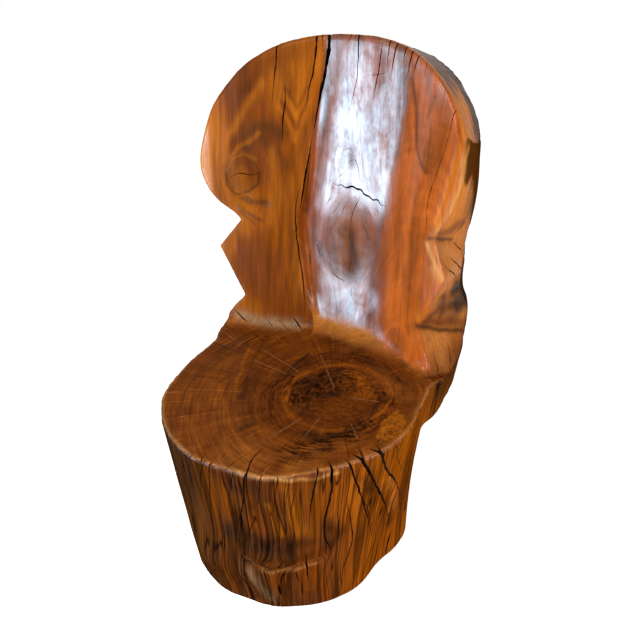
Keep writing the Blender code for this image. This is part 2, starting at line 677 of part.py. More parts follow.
def build():
    """Carve the trunk, then seat the knots, the fillers and the patch in their sockets."""
    face_cut = seat_cutter()
    outline_cut = outline_cutter()
    blank = guide(make_log("blank"))
    trunk = make_log("trunk")
    for piece in (blank, trunk):
        boolean(piece, face_cut, 'DIFFERENCE')
        boolean(piece, outline_cut, 'DIFFERENCE')
    for check in FACE_CHECKS:
        boolean(trunk, face_check(*check), 'DIFFERENCE')
    for check in DRUM_CHECKS:
        boolean(trunk, drum_check(*check), 'DIFFERENCE')
    for check in SEAT_CHECKS:
        boolean(trunk, seat_check(*check), 'DIFFERENCE')

    knots = []
    for name, centre, inwards, half_width, half_height in knot_places():
        sizes = (centre, inwards, half_width, half_height)
        boolean(trunk, guide(oval_prism("socket_" + name, *sizes, 0.0)), 'DIFFERENCE')
        knots.append(oval_prism(name, *sizes, FIT_GAP))
    fillers = []
    for name, degrees, inner, outer in FILLERS:
        boolean(trunk, guide(strip_prism("slot_" + name, degrees, inner, outer, 0.0)), 'DIFFERENCE')
        fillers.append(strip_prism(name, degrees, inner, outer, FIT_GAP))
    boolean(trunk, guide(patch_prism("pocket", 0.0)), 'DIFFERENCE')
    patch = patch_prism("seat_patch", FIT_GAP)
    for piece in knots + fillers + [patch]:
        boolean(piece, blank, 'INTERSECT')

    settle(trunk, wood("varnished_trunk", TRUNK_COLOUR, TRUNK_ROUGHNESS))
    for knot in knots:
        settle(knot, wood("dark_" + knot.name, KNOT_COLOUR, KNOT_ROUGHNESS))
    for filler in fillers:
        settle(filler, wood("pale_" + filler.name, FILLER_COLOUR, FILLER_ROUGHNESS))
    settle(patch, wood("orange_pocket", PATCH_COLOUR, PATCH_ROUGHNESS))
    for piece in list(bpy.data.objects):
        if piece.hide_render:
            bpy.data.objects.remove(piece, do_unlink=True)


build()
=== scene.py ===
"""Looks of the chair carved from one length of tree trunk: its detailed wood, knots and checks."""
import itertools
import math

import bpy
import numpy as np
from mathutils import Matrix, Vector
from mathutils.bvhtree import BVHTree


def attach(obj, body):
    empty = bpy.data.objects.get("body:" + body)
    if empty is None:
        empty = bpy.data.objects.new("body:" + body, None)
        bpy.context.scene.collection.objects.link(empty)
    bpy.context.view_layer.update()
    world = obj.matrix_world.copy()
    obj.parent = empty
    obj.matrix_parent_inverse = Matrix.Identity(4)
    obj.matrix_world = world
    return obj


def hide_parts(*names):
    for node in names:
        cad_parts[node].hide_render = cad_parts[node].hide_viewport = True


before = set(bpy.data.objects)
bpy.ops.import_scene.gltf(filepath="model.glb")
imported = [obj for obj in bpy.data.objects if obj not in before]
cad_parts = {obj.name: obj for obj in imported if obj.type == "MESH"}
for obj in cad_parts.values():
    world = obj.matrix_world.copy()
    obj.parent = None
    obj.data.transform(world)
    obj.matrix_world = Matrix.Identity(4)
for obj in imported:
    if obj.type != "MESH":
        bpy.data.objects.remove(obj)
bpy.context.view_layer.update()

# Log: the sizes of the part's source, with deeper waves round it
SEAT_HEIGHT = 0.418
SEAT_RADIUS = 0.280
BASE_RADIUS = 0.242
BASE_SHIFT_X = -0.031
BASE_SHIFT_Y = -0.011
BASE_CHAMFER = 0.006
RIM_ROUND = 0.006
UPPER_RADIUS = 0.372
UPPER_LEAN = 0.100
FLARE_LEFT = 0.260
FLARE_RIGHT = 0.090
FLARE_HEIGHT = 0.400
LOBE_BOTTOM = 0.288
LOBE_ROUND = 0.036
LOG_TOP = 1.120
FLUTE_DEPTH = 0.0028
FLANK_BULGE = 0.036
FLANK_HEIGHT = 0.475
FLANK_REACH_UP = 0.062
FLANK_REACH_DOWN = 0.125
FLANK_ANGLE = 38.0
WAIST_DEPTH = 0.009
WAIST_ANGLE = 18.0
SHELF_BULGE = 0.012
SHELF_HEIGHT = 0.120
SHELF_REACH = 0.055
SHELF_ANGLE = 262.0

# Cosine of the turn at which each swelling of the log starts, and what it then needs to be full
FLANK_TURN = (0.82, 0.18)
WAIST_TURN = (0.50, 0.50)
SHELF_TURN = (0.80, 0.20)

# Natural waves round the log: their number, share and phase
FLUTES = ((9, 1.0, 0.6), (14, 0.7, 2.1), (5, 0.5, 0.0))

# Back
FACE_RAKE = 0.176
FACE_DEPTH = 0.240
HALF_BACK = 0.280
CREASE_LOW_X = 0.226
CREASE_MID_X = 0.235
CREASE_HIGH_X = 0.300
CREASE_MID_Z = 0.700
CREASE_HIGH_Z = 0.950
STEP_WIDTH = 0.016
FILLET_SIDE = 0.030
FILLET_MIDDLE = 0.058
FILLET_RISE_SHARE = 1.7
FILLET_NARROWS = (0.30, 0.40)
BACK_TOP = 1.057
BACK_HEIGHT = BACK_TOP - SEAT_HEIGHT
EDGE_ROUND = 0.009
EDGE_CRISP = 0.004
EDGE_MILD = 0.016
EDGE_SOFT = 0.028

# Checks, knots and fillings
PITH_X = 0.103
PITH_Y = -0.011
FIT_GAP = 0.0003
OVERRUN = 0.040
CHECK_TIP = 0.0008
SOCKET_DEPTH = 0.045
FILLER_WIDTH = 0.0015
FILLER_DEPTH = 0.012
PATCH_DEPTH = 0.018
CUTTER_REACH = 0.450
CUTTER_DEPTH = 0.420
BEND_DEPTH = 0.155
BEYOND_DROP = 0.360
HEAD_MIDDLE = 0.800
FRONT_OVERRUN = 0.150

# Fineness of the meshes
LOG_SIDES = 240
LOG_ROWS = 130
FILLET_STEPS = 12
FACE_ROWS = 90
PANEL_COLUMNS = 60
STEP_COLUMNS = 14
HOLLOW_COLUMNS = 48
WING_COLUMNS = 40
RIM_STEPS = (0.25, 0.5, 0.7, 0.85, 0.95, 1.05)
DOME_STEPS = 5
EDGE_STEPS = 6
KNOT_SIDES = 64
VOXEL = 0.0032
SOFTENING = 0.5
SOFTENING_ROUNDS = 4
SHARP_ANGLE = 38.0

# Shares of SEAT_RADIUS, BASE_RADIUS and UPPER_RADIUS against the angle from +X in degrees
SEAT_SHARES = ((0, 0.98), (15, 1.02), (40, 1.03), (90, 1.00), (130, 1.03), (148, 1.055), (160, 0.98),
               (173, 0.955), (200, 0.995), (222, 1.015), (250, 1.005), (268, 0.995), (282, 1.005),
               (308, 0.978), (333, 1.005), (346, 1.022))
BASE_SHARES = ((0, 1.02), (14, 1.08), (30, 1.04), (90, 0.98), (150, 1.00), (210, 1.01), (240, 1.00),
               (285, 0.99), (320, 1.00), (340, 0.965), (350, 0.97))
UPPER_SHARES = ((12, 0.745), (18, 0.765), (30, 0.860), (40, 0.980), (48, 1.040), (60, 1.030),
                (75, 1.000), (90, 0.990), (105, 0.985), (120, 0.970), (133, 0.935), (145, 0.875),
                (156, 0.790))
UPPER_START = 14.0
UPPER_END = 158.0
UPPER_BLEND = 8.0

# Depth of the back's face as shares of FACE_DEPTH
LEFT_FACE_SHARES = ((-1.5, 0.740), (-1.0, 0.775), (-0.7, 0.800), (-0.45, 0.840), (-0.22, 0.888),
                    (0.0, 0.922))
RIGHT_FACE_SHARES = ((-0.4, 0.972), (-0.2, 0.942), (0.0, 0.902), (0.3, 0.838), (0.52, 0.790),
                     (0.64, 0.735), (0.8, 0.650), (0.9, 0.592), (1.0, 0.530), (1.07, 0.505),
                     (1.2, 0.500), (1.6, 0.520))
STEP_SHARES = ((0.0, -0.14), (0.12, -0.23), (0.28, -0.28), (0.39, -0.31), (0.52, -0.25), (0.72, -0.19),
               (1.0, -0.07), (1.2, -0.04))

# Outline of the back: share of HALF_BACK, share of the height above the seat, spread and
# drop of the cut per metre of depth, and edge radius
OUTLINE = (
    (-0.965, 0.014, 0.00, 0.36, EDGE_CRISP),
    (-0.940, 0.038, 0.00, 0.36, EDGE_CRISP),
    (-0.890, 0.065, 0.00, 0.36, EDGE_CRISP),
    (-0.775, 0.115, 0.00, 0.36, EDGE_CRISP),
    (-0.815, 0.148, 0.00, 0.36, EDGE_CRISP),
    (-0.990, 0.296, 0.00, 0.36, EDGE_CRISP),
    (-0.785, 0.400, 0.00, 0.36, EDGE_CRISP),
    (-0.840, 0.422, 0.00, 0.36, EDGE_CRISP),
    (-0.975, 0.458, 0.00, 0.36, EDGE_ROUND),
    (-1.065, 0.500, 0.00, 0.36, EDGE_ROUND),
    (-1.125, 0.560, 0.00, 0.36, EDGE_ROUND),
    (-1.125, 0.620, 0.00, 0.36, EDGE_ROUND),
    (-1.075, 0.700, 0.00, 0.36, EDGE_ROUND),
    (-0.990, 0.786, 0.00, 0.36, EDGE_ROUND),
    (-0.865, 0.852, 0.00, 0.36, EDGE_ROUND),
    (-0.715, 0.913, 0.00, 0.36, EDGE_ROUND),
    (-0.560, 0.952, 0.00, 0.36, EDGE_ROUND),
    (-0.400, 0.979, 0.00, 0.36, EDGE_ROUND),
    (-0.220, 0.995, 0.00, 0.36, EDGE_ROUND),
    (-0.020, 1.002, 0.00, 0.36, EDGE_ROUND),
    (0.190, 1.003, 0.02, 0.34, EDGE_ROUND),
    (0.390, 0.996, 0.04, 0.32, EDGE_ROUND),
    (0.580, 0.972, 0.06, 0.31, EDGE_ROUND),
    (0.730, 0.939, 0.06, 0.31, EDGE_ROUND),
    (0.870, 0.889, 0.06, 0.32, EDGE_ROUND),
    (0.985, 0.829, 0.05, 0.34, EDGE_MILD),
    (1.065, 0.762, 0.04, 0.36, EDGE_SOFT),
    (1.100, 0.720, 0.04, 0.38, EDGE_SOFT),
    (1.090, 0.670, 0.06, 0.40, EDGE_SOFT),
    (1.050, 0.600, 0.12, 0.43, EDGE_SOFT),
    (0.985, 0.520, 0.19, 0.46, EDGE_MILD),
    (0.903, 0.448, 0.25, 0.48, EDGE_CRISP),
    (1.003, 0.324, 0.06, 0.02, EDGE_CRISP),
    (0.803, 0.153, 0.52, 0.56, EDGE_CRISP),
    (0.900, 0.040, 0.50, 0.46, EDGE_CRISP),
    (0.943, -0.010, 0.48, 0.36, EDGE_CRISP),
)

# Camera, and how far a pixel just off the wood is drawn towards the middle of the photograph
CAMERA_PLACE = (0.576, -1.055, 1.301)
CAMERA_RIGHT = (0.9188, 0.3875, -0.0752)
CAMERA_BACK = (0.3677, -0.7710, 0.5200)
CAMERA_LENS = 39.375
CAMERA_SENSOR = 36.0
PHOTO_SIZE = 640
PHOTO_SCALE = PHOTO_SIZE * CAMERA_LENS / CAMERA_SENSOR
PHOTO_MIDDLE = (330.0, 320.0)
PIXEL_STEPS = (0.0, 0.005, 0.01, 0.02, 0.04)

# Stage, with the lamps' name, place, aim, width, height, power and colour
WORLD_STRENGTH = 0.33
FLOOR_REACH = 6.0
FLOOR_COLOUR = (0.86, 0.85, 0.83)
FLOOR_LIFT = 0.74
FLOOR_ROUGHNESS = 0.9
FLOOR_SPECULAR = 0.1
WHITE = (1.0, 1.0, 1.0, 1.0)
LAMPS = (
    ("window", (-1.48, -1.36, 0.70), (0.08, 0.25, 0.70), 0.60, 1.30, 46.0, (0.52, 0.77, 1.0)),
    ("ceiling", (-0.35, -1.90, 2.60), (0.0, 0.0, 0.5), 0.8, 0.8, 42.0, (1.0, 0.96, 0.88)),
    ("fill", (1.95, -0.95, 0.85), (0.2, 0.2, 0.75), 0.24, 0.9, 24.0, (1.0, 0.94, 0.85)),
)

# Form of a check: the step along it, its cutter's lift over the wood, and how ragged it runs
CHECK_STEP = 0.005
CHECK_LIFT = 0.012
CHECK_JITTER = 0.0010
CHECK_RAGGED = 0.35
CHECK_RUNOUT = 0.014
CHECK_END = 0.03
CHECK_SWELL = 0.6
CHECK_WAVES = 70.0
CHECK_WIDE = 0.003

# Which end of a check runs out over an edge of the wood
INSIDE = (False, False)
FROM_EDGE = (True, False)
TO_EDGE = (False, True)

# Checks seen in the photograph: width, depth, which end runs out over an edge, and the
# photograph's pixels that it passes through
FACE_CHECKS = (
    (0.0078, 0.040, FROM_EDGE, ((330, 34), (327, 63), (320, 97), (314, 129))),
    (0.0044, 0.026, INSIDE, ((312, 137), (310, 150), (305, 177), (302, 198), (300, 214))),
    (0.0036, 0.022, FROM_EDGE, ((317, 38), (313, 72), (308, 93), (306, 112))),
    (0.0016, 0.010, FROM_EDGE, ((323, 34), (323, 53))),
    (0.0030, 0.014, FROM_EDGE, ((277, 48), (276, 63), (273, 88), (272, 103))),
    (0.0030, 0.012, INSIDE, ((285, 83), (285, 102), (283, 123), (282, 147))),
    (0.0014, 0.006, INSIDE, ((250, 78), (250, 93))),
    (0.0022, 0.014, FROM_EDGE, ((360, 35), (358, 63), (356, 83), (347, 118))),
    (0.0020, 0.010, FROM_EDGE, ((352, 35), (348, 44))),
    (0.0025, 0.014, INSIDE, ((383, 41), (380, 63), (373, 100))),
    (0.0025, 0.014, FROM_EDGE, ((391, 41), (387, 67))),
    (0.0025, 0.014, FROM_EDGE, ((398, 42), (390, 80))),
    (0.0016, 0.010, FROM_EDGE, ((408, 47), (403, 63))),
    (0.0022, 0.012, FROM_EDGE, ((414, 51), (407, 77))),
    (0.0022, 0.012, FROM_EDGE, ((420, 56), (412, 77))),
    (0.0016, 0.010, FROM_EDGE, ((427, 64), (425, 77))),
    (0.0014, 0.006, INSIDE, ((457, 110), (447, 143), (437, 172), (428, 202), (426, 236))),
)
CROSS_CHECKS = (
    (0.0032, 0.018, INSIDE, ((299, 190), (296, 205), (296, 230), (300, 260), (304, 290), (305, 312))),
    (0.0012, 0.005, INSIDE, ((370, 75), (380, 74), (388, 71))),
    (0.0042, 0.014, INSIDE, ((333, 183), (338, 185.5), (341, 184.5), (347, 188), (352, 186.5), (357, 189),
                             (361, 189.5), (364, 194.5), (369, 196), (373, 200), (378, 200), (381, 205),
                             (386, 206))),
    (0.0015, 0.008, INSIDE, ((360, 197), (353, 212), (351, 225))),
    (0.0012, 0.006, INSIDE, ((348, 162), (355, 160), (358, 168), (360, 181))),
    (0.0020, 0.008, INSIDE, ((231, 177), (240, 173), (250, 175), (259, 173))),
    (0.0040, 0.012, INSIDE, ((234, 309), (241, 316), (248, 323))),
    (0.0018, 0.008, INSIDE, ((268, 320), (273, 327))),
    (0.0018, 0.008, INSIDE, ((279, 320), (287, 329))),
    (0.0036, 0.012, INSIDE, ((293, 317), (298, 324), (303, 332))),
    (0.0020, 0.008, INSIDE, ((317, 243), (320, 256))),
    (0.0022, 0.008, INSIDE, ((333, 273), (339, 278), (345, 281))),
    (0.0010, 0.003, INSIDE, ((340, 203), (336, 209), (333, 214))),
    (0.0010, 0.003, INSIDE, ((347, 202), (343, 210), (341, 217))),
    (0.0010, 0.003, INSIDE, ((367, 207), (370, 213), (373, 219))),
    (0.0010, 0.003, INSIDE, ((375, 208), (381, 215))),
    (0.0010, 0.003, INSIDE, ((333, 196), (329, 200), (326, 206))),
    (0.0010, 0.003, INSIDE, ((363, 224), (366, 231), (369, 240))),
    (0.0010, 0.003, INSIDE, ((336, 222), (332, 228), (330, 235))),
    (0.0010, 0.003, INSIDE, ((352, 286), (351, 293), (353, 300))),
    (0.0010, 0.003, INSIDE, ((346, 172), (340, 176), (337, 179))),
    (0.0016, 0.008, INSIDE, ((309, 255), (311, 265))),
    (0.0026, 0.010, INSIDE, ((465, 222), (458, 230), (453, 237))),
    (0.0028, 0.010, INSIDE, ((453, 242), (458, 247), (463, 251))),
    (0.0024, 0.010, INSIDE, ((443, 264), (449, 270), (456, 277))),
    (0.0028, 0.010, INSIDE, ((449.5, 257), (457, 264), (463, 271))),
    (0.0026, 0.010, INSIDE, ((446, 338), (450, 356), (451, 372), (447, 386))),
    (0.0026, 0.010, INSIDE, ((434, 358), (438, 370), (438, 388))),
)
DRUM_CHECKS = (
    (0.0042, 0.022, FROM_EDGE, ((331, 467), (331, 494), (325, 520), (325, 538), (331, 550), (324, 570))),
    (0.0042, 0.022, FROM_EDGE, ((350, 465), (357, 484), (365, 508), (372, 536))),
    (0.0050, 0.024, FROM_EDGE, ((361, 459), (373, 480), (387, 512), (389, 528))),
    (0.0050, 0.024, FROM_EDGE, ((379, 452), (387, 470), (399, 490), (401, 512))),
    (0.0060, 0.026, INSIDE, ((391, 530), (387, 545), (385, 555))),
    (0.0030, 0.016, FROM_EDGE, ((318, 474), (311, 504), (309, 530))),
    (0.0020, 0.010, INSIDE, ((339, 498), (338, 520), (340, 542))),
    (0.0026, 0.012, INSIDE, ((346, 498), (352, 528), (352, 541), (339, 580))),
    (0.0042, 0.018, INSIDE, ((306, 553), (307, 568), (309, 581))),
    (0.0022, 0.010, INSIDE, ((296, 571), (299, 584))),
    (0.0042, 0.016, INSIDE, ((279, 583), (281, 596))),
    (0.0030, 0.014, INSIDE, ((233, 546), (239, 574), (254, 595))),
    (0.0026, 0.014, FROM_EDGE, ((209, 468), (210, 500), (212, 520), (217, 536))),
    (0.0030, 0.016, FROM_EDGE, ((244, 481), (243, 504), (238, 524), (235, 541))),
    (0.0022, 0.012, FROM_EDGE, ((260, 480), (259, 494), (257, 508))),
    (0.0018, 0.010, INSIDE, ((256, 516), (251, 528), (247, 541))),
    (0.0016, 0.008, INSIDE, ((289, 484), (286, 500), (284, 514))),
    (0.0016, 0.008, INSIDE, ((296, 488), (292, 506), (290, 522))),
    (0.0022, 0.012, INSIDE, ((377, 532), (371, 550), (359, 577))),
    (0.0016, 0.010, FROM_EDGE, ((397, 449), (399, 462), (408, 476))),
    (0.0020, 0.010, FROM_EDGE, ((190, 458), (190, 474), (194, 500))),
    (0.0020, 0.010, FROM_EDGE, ((203, 464), (200, 482), (203, 506))),
    (0.0018, 0.010, FROM_EDGE, ((232, 477), (230, 492), (228, 512))),
    (0.0016, 0.008, INSIDE, ((219, 500), (222, 530), (229, 560))),
    (0.0020, 0.010, INSIDE, ((360, 492), (367, 508), (372, 526))),
    (0.0018, 0.010, FROM_EDGE, ((277, 481), (275, 498), (272, 516))),
)
SEAT_CHECKS = (
    (0.0034, 0.018, TO_EDGE, ((264, 447), (256, 455), (250, 463), (247, 472))),
    (0.0022, 0.012, TO_EDGE, ((206, 452), (203, 457), (201, 461))),
    (0.0030, 0.016, TO_EDGE, ((358, 447), (361, 453), (363, 458))),
    (0.0030, 0.016, TO_EDGE, ((376, 445), (379, 449))),
    (0.0014, 0.006, INSIDE, ((222, 458), (226, 452))),
    (0.0016, 0.008, INSIDE, ((413, 382), (420, 384), (427, 386))),
)

# Checks of the sides that the photograph doesn't show
HIDDEN_CHECKS = 22
HIDDEN_SEED = 4
HIDDEN_WIDTH = 0.0034
HIDDEN_DEPTH = 0.018
HIDDEN_STATIONS = 6
HIDDEN_TURN = 1.2
HIDDEN_LENGTH = (0.15, 0.30)

# First and last angle of the hidden checks, and the lowest and highest start of each
HIDDEN_UPPER = (20.0, 152.0, 0.34, 0.60)
HIDDEN_LOWER = (165.0, 215.0, 0.03, 0.15)

# Encased knots: place on the face as shares of HALF_BACK and of the back's height, half sizes
FACE_KNOTS = (
    ("knot_back_left", -0.745, 0.565, 0.041, 0.044),
    ("knot_back_upper", 0.125, 0.622, 0.018, 0.023),
    ("knot_back_centre", 0.150, 0.360, 0.062, 0.092),
    ("knot_back_right", 0.610, 0.053, 0.026, 0.030),
)

# Knot in the drum's burl: angle, share of SEAT_HEIGHT and half sizes
BURL_KNOT_ANGLE = -75.0
BURL_KNOT_SHARE = 0.385
BURL_KNOT_HALF_WIDTH = 0.022
BURL_KNOT_HALF_HEIGHT = 0.017
KNOT_TAPER = 0.8
KNOT_RIPPLE = 0.04

# Filled checks of the seat: angle about the pith, inner and outer reach from it
FILLERS = (
    ("filler_seat_1", 154.5, 0.125, 0.262),
    ("filler_seat_2", 164.0, 0.140, 0.235),
    ("filler_seat_3", 126.0, 0.030, 0.155),
    ("filler_seat_4", 4.5, 0.030, 0.088),
    ("filler_seat_5", -52.5, 0.092, 0.140),
    ("filler_seat_6", -96.0, 0.080, 0.135),
    ("filler_seat_7", -115.5, 0.100, 0.180),
)

# Filled bark pocket: its place about the pith, and shares of its radius against the angle
PATCH_ANGLE = -24.0
PATCH_REACH = 0.148
PATCH_RADIUS = 0.050
PATCH_SHARES = ((0, 0.50), (35, 0.62), (70, 0.80), (95, 1.15), (125, 0.62), (165, 0.50), (200, 0.42),
                (235, 0.75), (258, 1.05), (285, 0.72), (320, 0.50))

# Numbers that scatter the noise's values
NOISE_MIX = (127.1, 311.7, 74.7)
NOISE_SEED_STEP = 19.7
NOISE_SCATTER = 43758.5453

# Sculpted relief: depth of each and waves per metre across and along the grain
FACE_RIPPLE = 0.00018
FACE_WAVE = 0.0012
DRUM_RIPPLE = 0.0011
BARK_RIPPLE = 0.0022
SAWN_RIPPLE = 0.0007
RIPPLE_ACROSS = 75.0
RIPPLE_ALONG = 4.0
RIPPLE_FINER = 2.1
FLAT_FOOT = 0.02
WAVE_SCALE = (18.0, 18.0, 10.0)
KNOT_DOME = 0.0006

# Burls and folds: rise, half width, and the photograph's pixels
BURL_WAVES = (45.0, 45.0, 45.0)
BURLS = (
    (0.0010, 0.034, ((345, 228), (343, 250), (348, 270))),
    (0.0008, 0.020, ((354, 150), (354, 170))),
    (0.0020, 0.016, ((244, 200), (262, 206))),
    (0.0030, 0.030, ((250, 550), (290, 556), (320, 548))),
)
FOLDS = (
    (0.0055, 0.012, ((248, 548), (262, 557), (285, 559), (306, 552), (322, 546))),
    (-0.0050, 0.006, ((244, 558), (261, 569), (285, 570), (305, 564), (326, 557))),
    (0.0035, 0.006, ((250, 574), (262, 588), (278, 601))),
    (-0.0035, 0.005, ((243, 577), (254, 593), (268, 605))),
    (0.0030, 0.006, ((236, 580), (246, 596))),
    (0.0030, 0.006, ((285, 578), (296, 588), (312, 590))),
    (0.0035, 0.010, ((389, 478), (396, 494), (396, 512))),
    (-0.0030, 0.007, ((242, 197), (252, 203), (266, 204))),
    (0.0022, 0.007, ((240, 208), (252, 213), (266, 214))),
)

# Growth rings and fibres
RING_LEAN = 0.060
RING_LINES = 240.0
RING_WARP = 0.035
RING_SWIRL = (2.2, 2.0)
RING_RISE = 0.010
RING_TURN = 0.012
RAY_DEPTH = 0.12
KNOT_FIGURE = 0.014
KNOT_SPAN = 0.03
KNOT_RINGS_END = (1.35, 0.5)
KNOT_PUSH = 0.8
KNOT_PUSH_FADE = 1.2
KNOT_REACH = 0.10
FAR = 50.0
GRAIN_SWAY = 0.006
SWAY_TURNS = 3.0
SWAY_WAVES = 8.0

# Grain: waves per metre across and along the fibres, and how the noise is read as brightness:
# from a low and a high value to two others. RAY, SCRATCH, CRACK and BAND run round the pith.
BROAD_WAVES = (24.0, 24.0, 3.0)
BROAD_SHADE = (0.34, 0.66, 0.84, 1.12)
FINE_WAVES = (120.0, 120.0, 2.6)
FINE_SHADE = (0.40, 0.54, 0.30, 1.12)
HAIR_WAVES = (400.0, 400.0, 9.0)
HAIR_SHADE = (0.30, 0.70, 0.82, 1.14)
RAY_WAVES = (58.0, 58.0, 40.0)
RAY_SHADE = (0.30, 0.66, 0.84, 1.12)
SCRATCH_WAVES = (95.0, 95.0, 110.0)
SCRATCH_SHADE = (0.70, 0.74, 1.0, 2.4)
CRACK_WAVES = (34.0, 34.0, 22.0)
CRACK_SHADE = (0.0, 0.018, 0.45, 1.0)
SPLIT_WAVES = (52.0, 52.0, 1.8)
SPLIT_SHADE = (0.004, 0.018, 0.04, 1.0)
LONG_SPLIT_WAVES = (30.0, 30.0, 1.4)
LONG_SPLIT_SHADE = (0.002, 0.010, 0.02, 1.0)
BAND_WAVES = (5.0, 5.0, 1100.0)
BAND_SHADE = (0.43, 0.56, 0.15, 1.35)
SMEAR_WAVES = (90.0, 90.0, 5.0)
SMEAR_SHADE = (0.42, 0.56, 0.12, 1.15)
PORE_WAVES = (170.0, 170.0, 9.0)
PORE_SHADE = (0.34, 0.52, 0.65, 1.0)
UNEVEN_WAVES = (24.0, 24.0, 13.0)
UNEVEN_SHADE = (0.38, 0.58, 0.30, 1.0)
LENGTHWAYS_RINGS = (0.35, 0.65, 0.86, 1.10)
END_RINGS = (0.34, 0.62, 0.80, 1.10)

# Veins of the fillings
VEIN_WAVES = (42.0, 42.0, 42.0)
VEIN_WIDTH = (0.005, 0.025)

# Share of dark streaks and of split lines on sanded wood and on the drum
STREAKY_SANDED = 0.12
STREAKY_DRUM = 0.82
LINED_SANDED = 0.06
LINED_DRUM = 0.86
DRUM_TOP = (SEAT_HEIGHT + 0.01, 0.02)

# Palette
GOLD = (0.190, 0.037, 0.0012)
AMBER = (0.36, 0.094, 0.005)
ORANGE = (0.50, 0.102, 0.012)
ROSE = (0.22, 0.044, 0.008)
HONEY = (0.62, 0.190, 0.016)
TAN = (0.50, 0.165, 0.028)
UMBER = (0.078, 0.022, 0.004)
CHESTNUT = (0.150, 0.034, 0.005)
CHAR = (0.020, 0.009, 0.005)
BARK = (0.080, 0.028, 0.006)
STRAW = (0.26, 0.155, 0.078)
GILT = (0.38, 0.105, 0.002)
POCKET = (0.36, 0.10, 0.006)
# Painted highlight: a pale colour laid where light glints on the seat's rim, the head's right ridge, the
# tooth's crest and the burl's ledge
PAINTED_HIGHLIGHT = (0.68, 0.31, 0.09)
SAND = (0.56, 0.21, 0.055)
# Painted shade: near black for the walls of the checks; the sockets' joints use it too
CRACK = (0.014, 0.007, 0.004)
DRUM_GOLD = (0.178, 0.039, 0.0005)
KNOT_DARKNESS = 0.28

# Woods: name, specular level, coat roughness, lowest and highest roughness, fine relief
WOOD_LOOKS = (
    ("wood_face", 0.015, 0.30, 0.24, 0.36, 0.10),
    ("wood_seat", 0.01, 0.22, 0.34, 0.46, 0.35),
    ("wood_drum", 0.0, 0.28, 0.42, 0.58, 0.45),
)
WOOD_RELIEF = 0.0010

# Crack and fillings: name, colour, lowest and highest brightness, mottles per metre, brightness
# of the veins, roughness and specular level
CRACK_LOOK = ("wood_crack", CRACK, 0.5, 1.4, 300.0, 1.0, 0.80, 0.10)
PALE_LOOK = ("pale_filling", STRAW, 0.45, 1.15, 220.0, 0.6, 0.45, 0.2)
POCKET_LOOK = ("orange_pocket_filling", POCKET, 0.45, 1.25, 60.0, 0.10, 0.28, 0.2)
FILLING_RELIEF = 0.0008

# Slots of the woods on each piece
FACE_SLOT = 0
SEAT_SLOT = 1
DRUM_SLOT = 2
CRACK_SLOT = 3

# Wood zones: how far each reaches from its surface, and over what it fades
SEAT_ZONE = (0.012, 0.010)
FACE_ZONE = (0.014, 0.010)
BARK_ZONE = (0.007, 0.005)
FACE_START = 0.012
LEVEL_SHARE = (0.75, 0.2)
FRONT_SHARE = (0.15, 0.2)

# Where the painted tones start, and over what they grow: shares of HALF_BACK and of the crease's
# place on the face, then metres
EDGE_GOLD = (0.98, 0.1)
WING = (0.52, 0.16)
FACET = 0.012
FACET_GOLD = (0.70, 0.05)
NOTCHED = (0.73, 0.04)
SHADED_HEIGHT = (0.93, 0.05)
SHADED_RIGHT = (0.05, 0.10)
SHADED_BEHIND = (0.01, 0.03)
BARKED = (0.100, 0.020)
# Painted shade low on the sawn facets, under the teeth
FOOT = (0.47, 0.06)
DRUM_LEFT = (0.03, 0.10)
DRUM_RIGHT = (0.10, 0.10)
REAR = (0.05, 0.06)
LOBE_BARK = 0.1
SEAT_TAN = (0.12, 0.10)

# Varnish: how its weight falls as it is seen at a slant, where the hollow's shine ends, the worn
# ridge behind the face, the heights of the duller burl, and the thickness by zone
COAT_IOR = 2.3
SLANT_GLOSS = (0.30, 0.75, 1.0, 0.05)
HOLLOW_END = (0.85, 0.30)
EDGE_LEFT = (1.0, 0.06)
EDGE_RIGHT = (1.06, 0.04)
WORN_DEPTH = 0.006
WORN_REACH = (0.020, 0.010)
WORN_HEIGHT = (0.69, 0.03)
WORN_RIGHT = 0.2
DULL_HEIGHTS = (0.545, 0.745, 0.07)
DULL_SHARE = 0.84
GLOSS_FACE = 0.03
GLOSS_EDGE = 0.30
GLOSS_HOLLOW = 1.0
GLOSS_SEAT = 0.02
GLOSS_SAWN = 0.03
GLOSS_BARK = 0.02

# How far the painted strokes stray: figure, painted highlights and painted shade alike
STROKE_DRIFT = 0.006
STROKE_WAVES = (55.0, 55.0, 30.0)
STROKE_WIDE = 0.008

# Where the varnish is duller or fuller: gloss, half width, and the photograph's pixels
GLOSS_STROKES = (
    (0.03, 0.042, ((422, 50), (416, 90), (408, 140), (402, 190), (396, 250), (392, 310))),
    (0.28, 0.045, ((322, 296), (334, 312), (350, 335))),
    (0.14, 0.020, ((338, 40), (334, 90), (324, 140), (316, 185), (310, 230), (310, 270))),
    (0.40, 0.024, ((332, 36), (362, 36), (392, 44), (410, 54))),
    (0.60, 0.014, ((386, 50), (380, 80), (368, 110))),
    (0.45, 0.010, ((334, 52), (333, 72), (330, 90))),
    (0.22, 0.034, ((345, 205), (362, 215), (350, 225))),
    (0.02, 0.036, ((350, 230), (352, 252), (350, 268))),
    (0.02, 0.016, ((313, 200), (313, 240), (316, 290))),
    (0.10, 0.024, ((372, 318), (386, 338), (402, 352))),
    (0.15, 0.018, ((320, 235), (322, 255), (334, 272))),
    (0.04, 0.016, ((312, 150), (309, 175), (305, 205), (306, 240))),
    (0.20, 0.010, ((328, 145), (322, 175), (318, 205))),
    (0.45, 0.014, ((352, 150), (353, 165))),
    (0.04, 0.032, ((376, 232), (382, 260), (376, 285))),
    (0.15, 0.016, ((385, 285), (385, 320))),
    (0.35, 0.040, ((424, 62), (440, 82), (452, 105))),
    (0.30, 0.012, ((345, 345), (365, 352))),
)

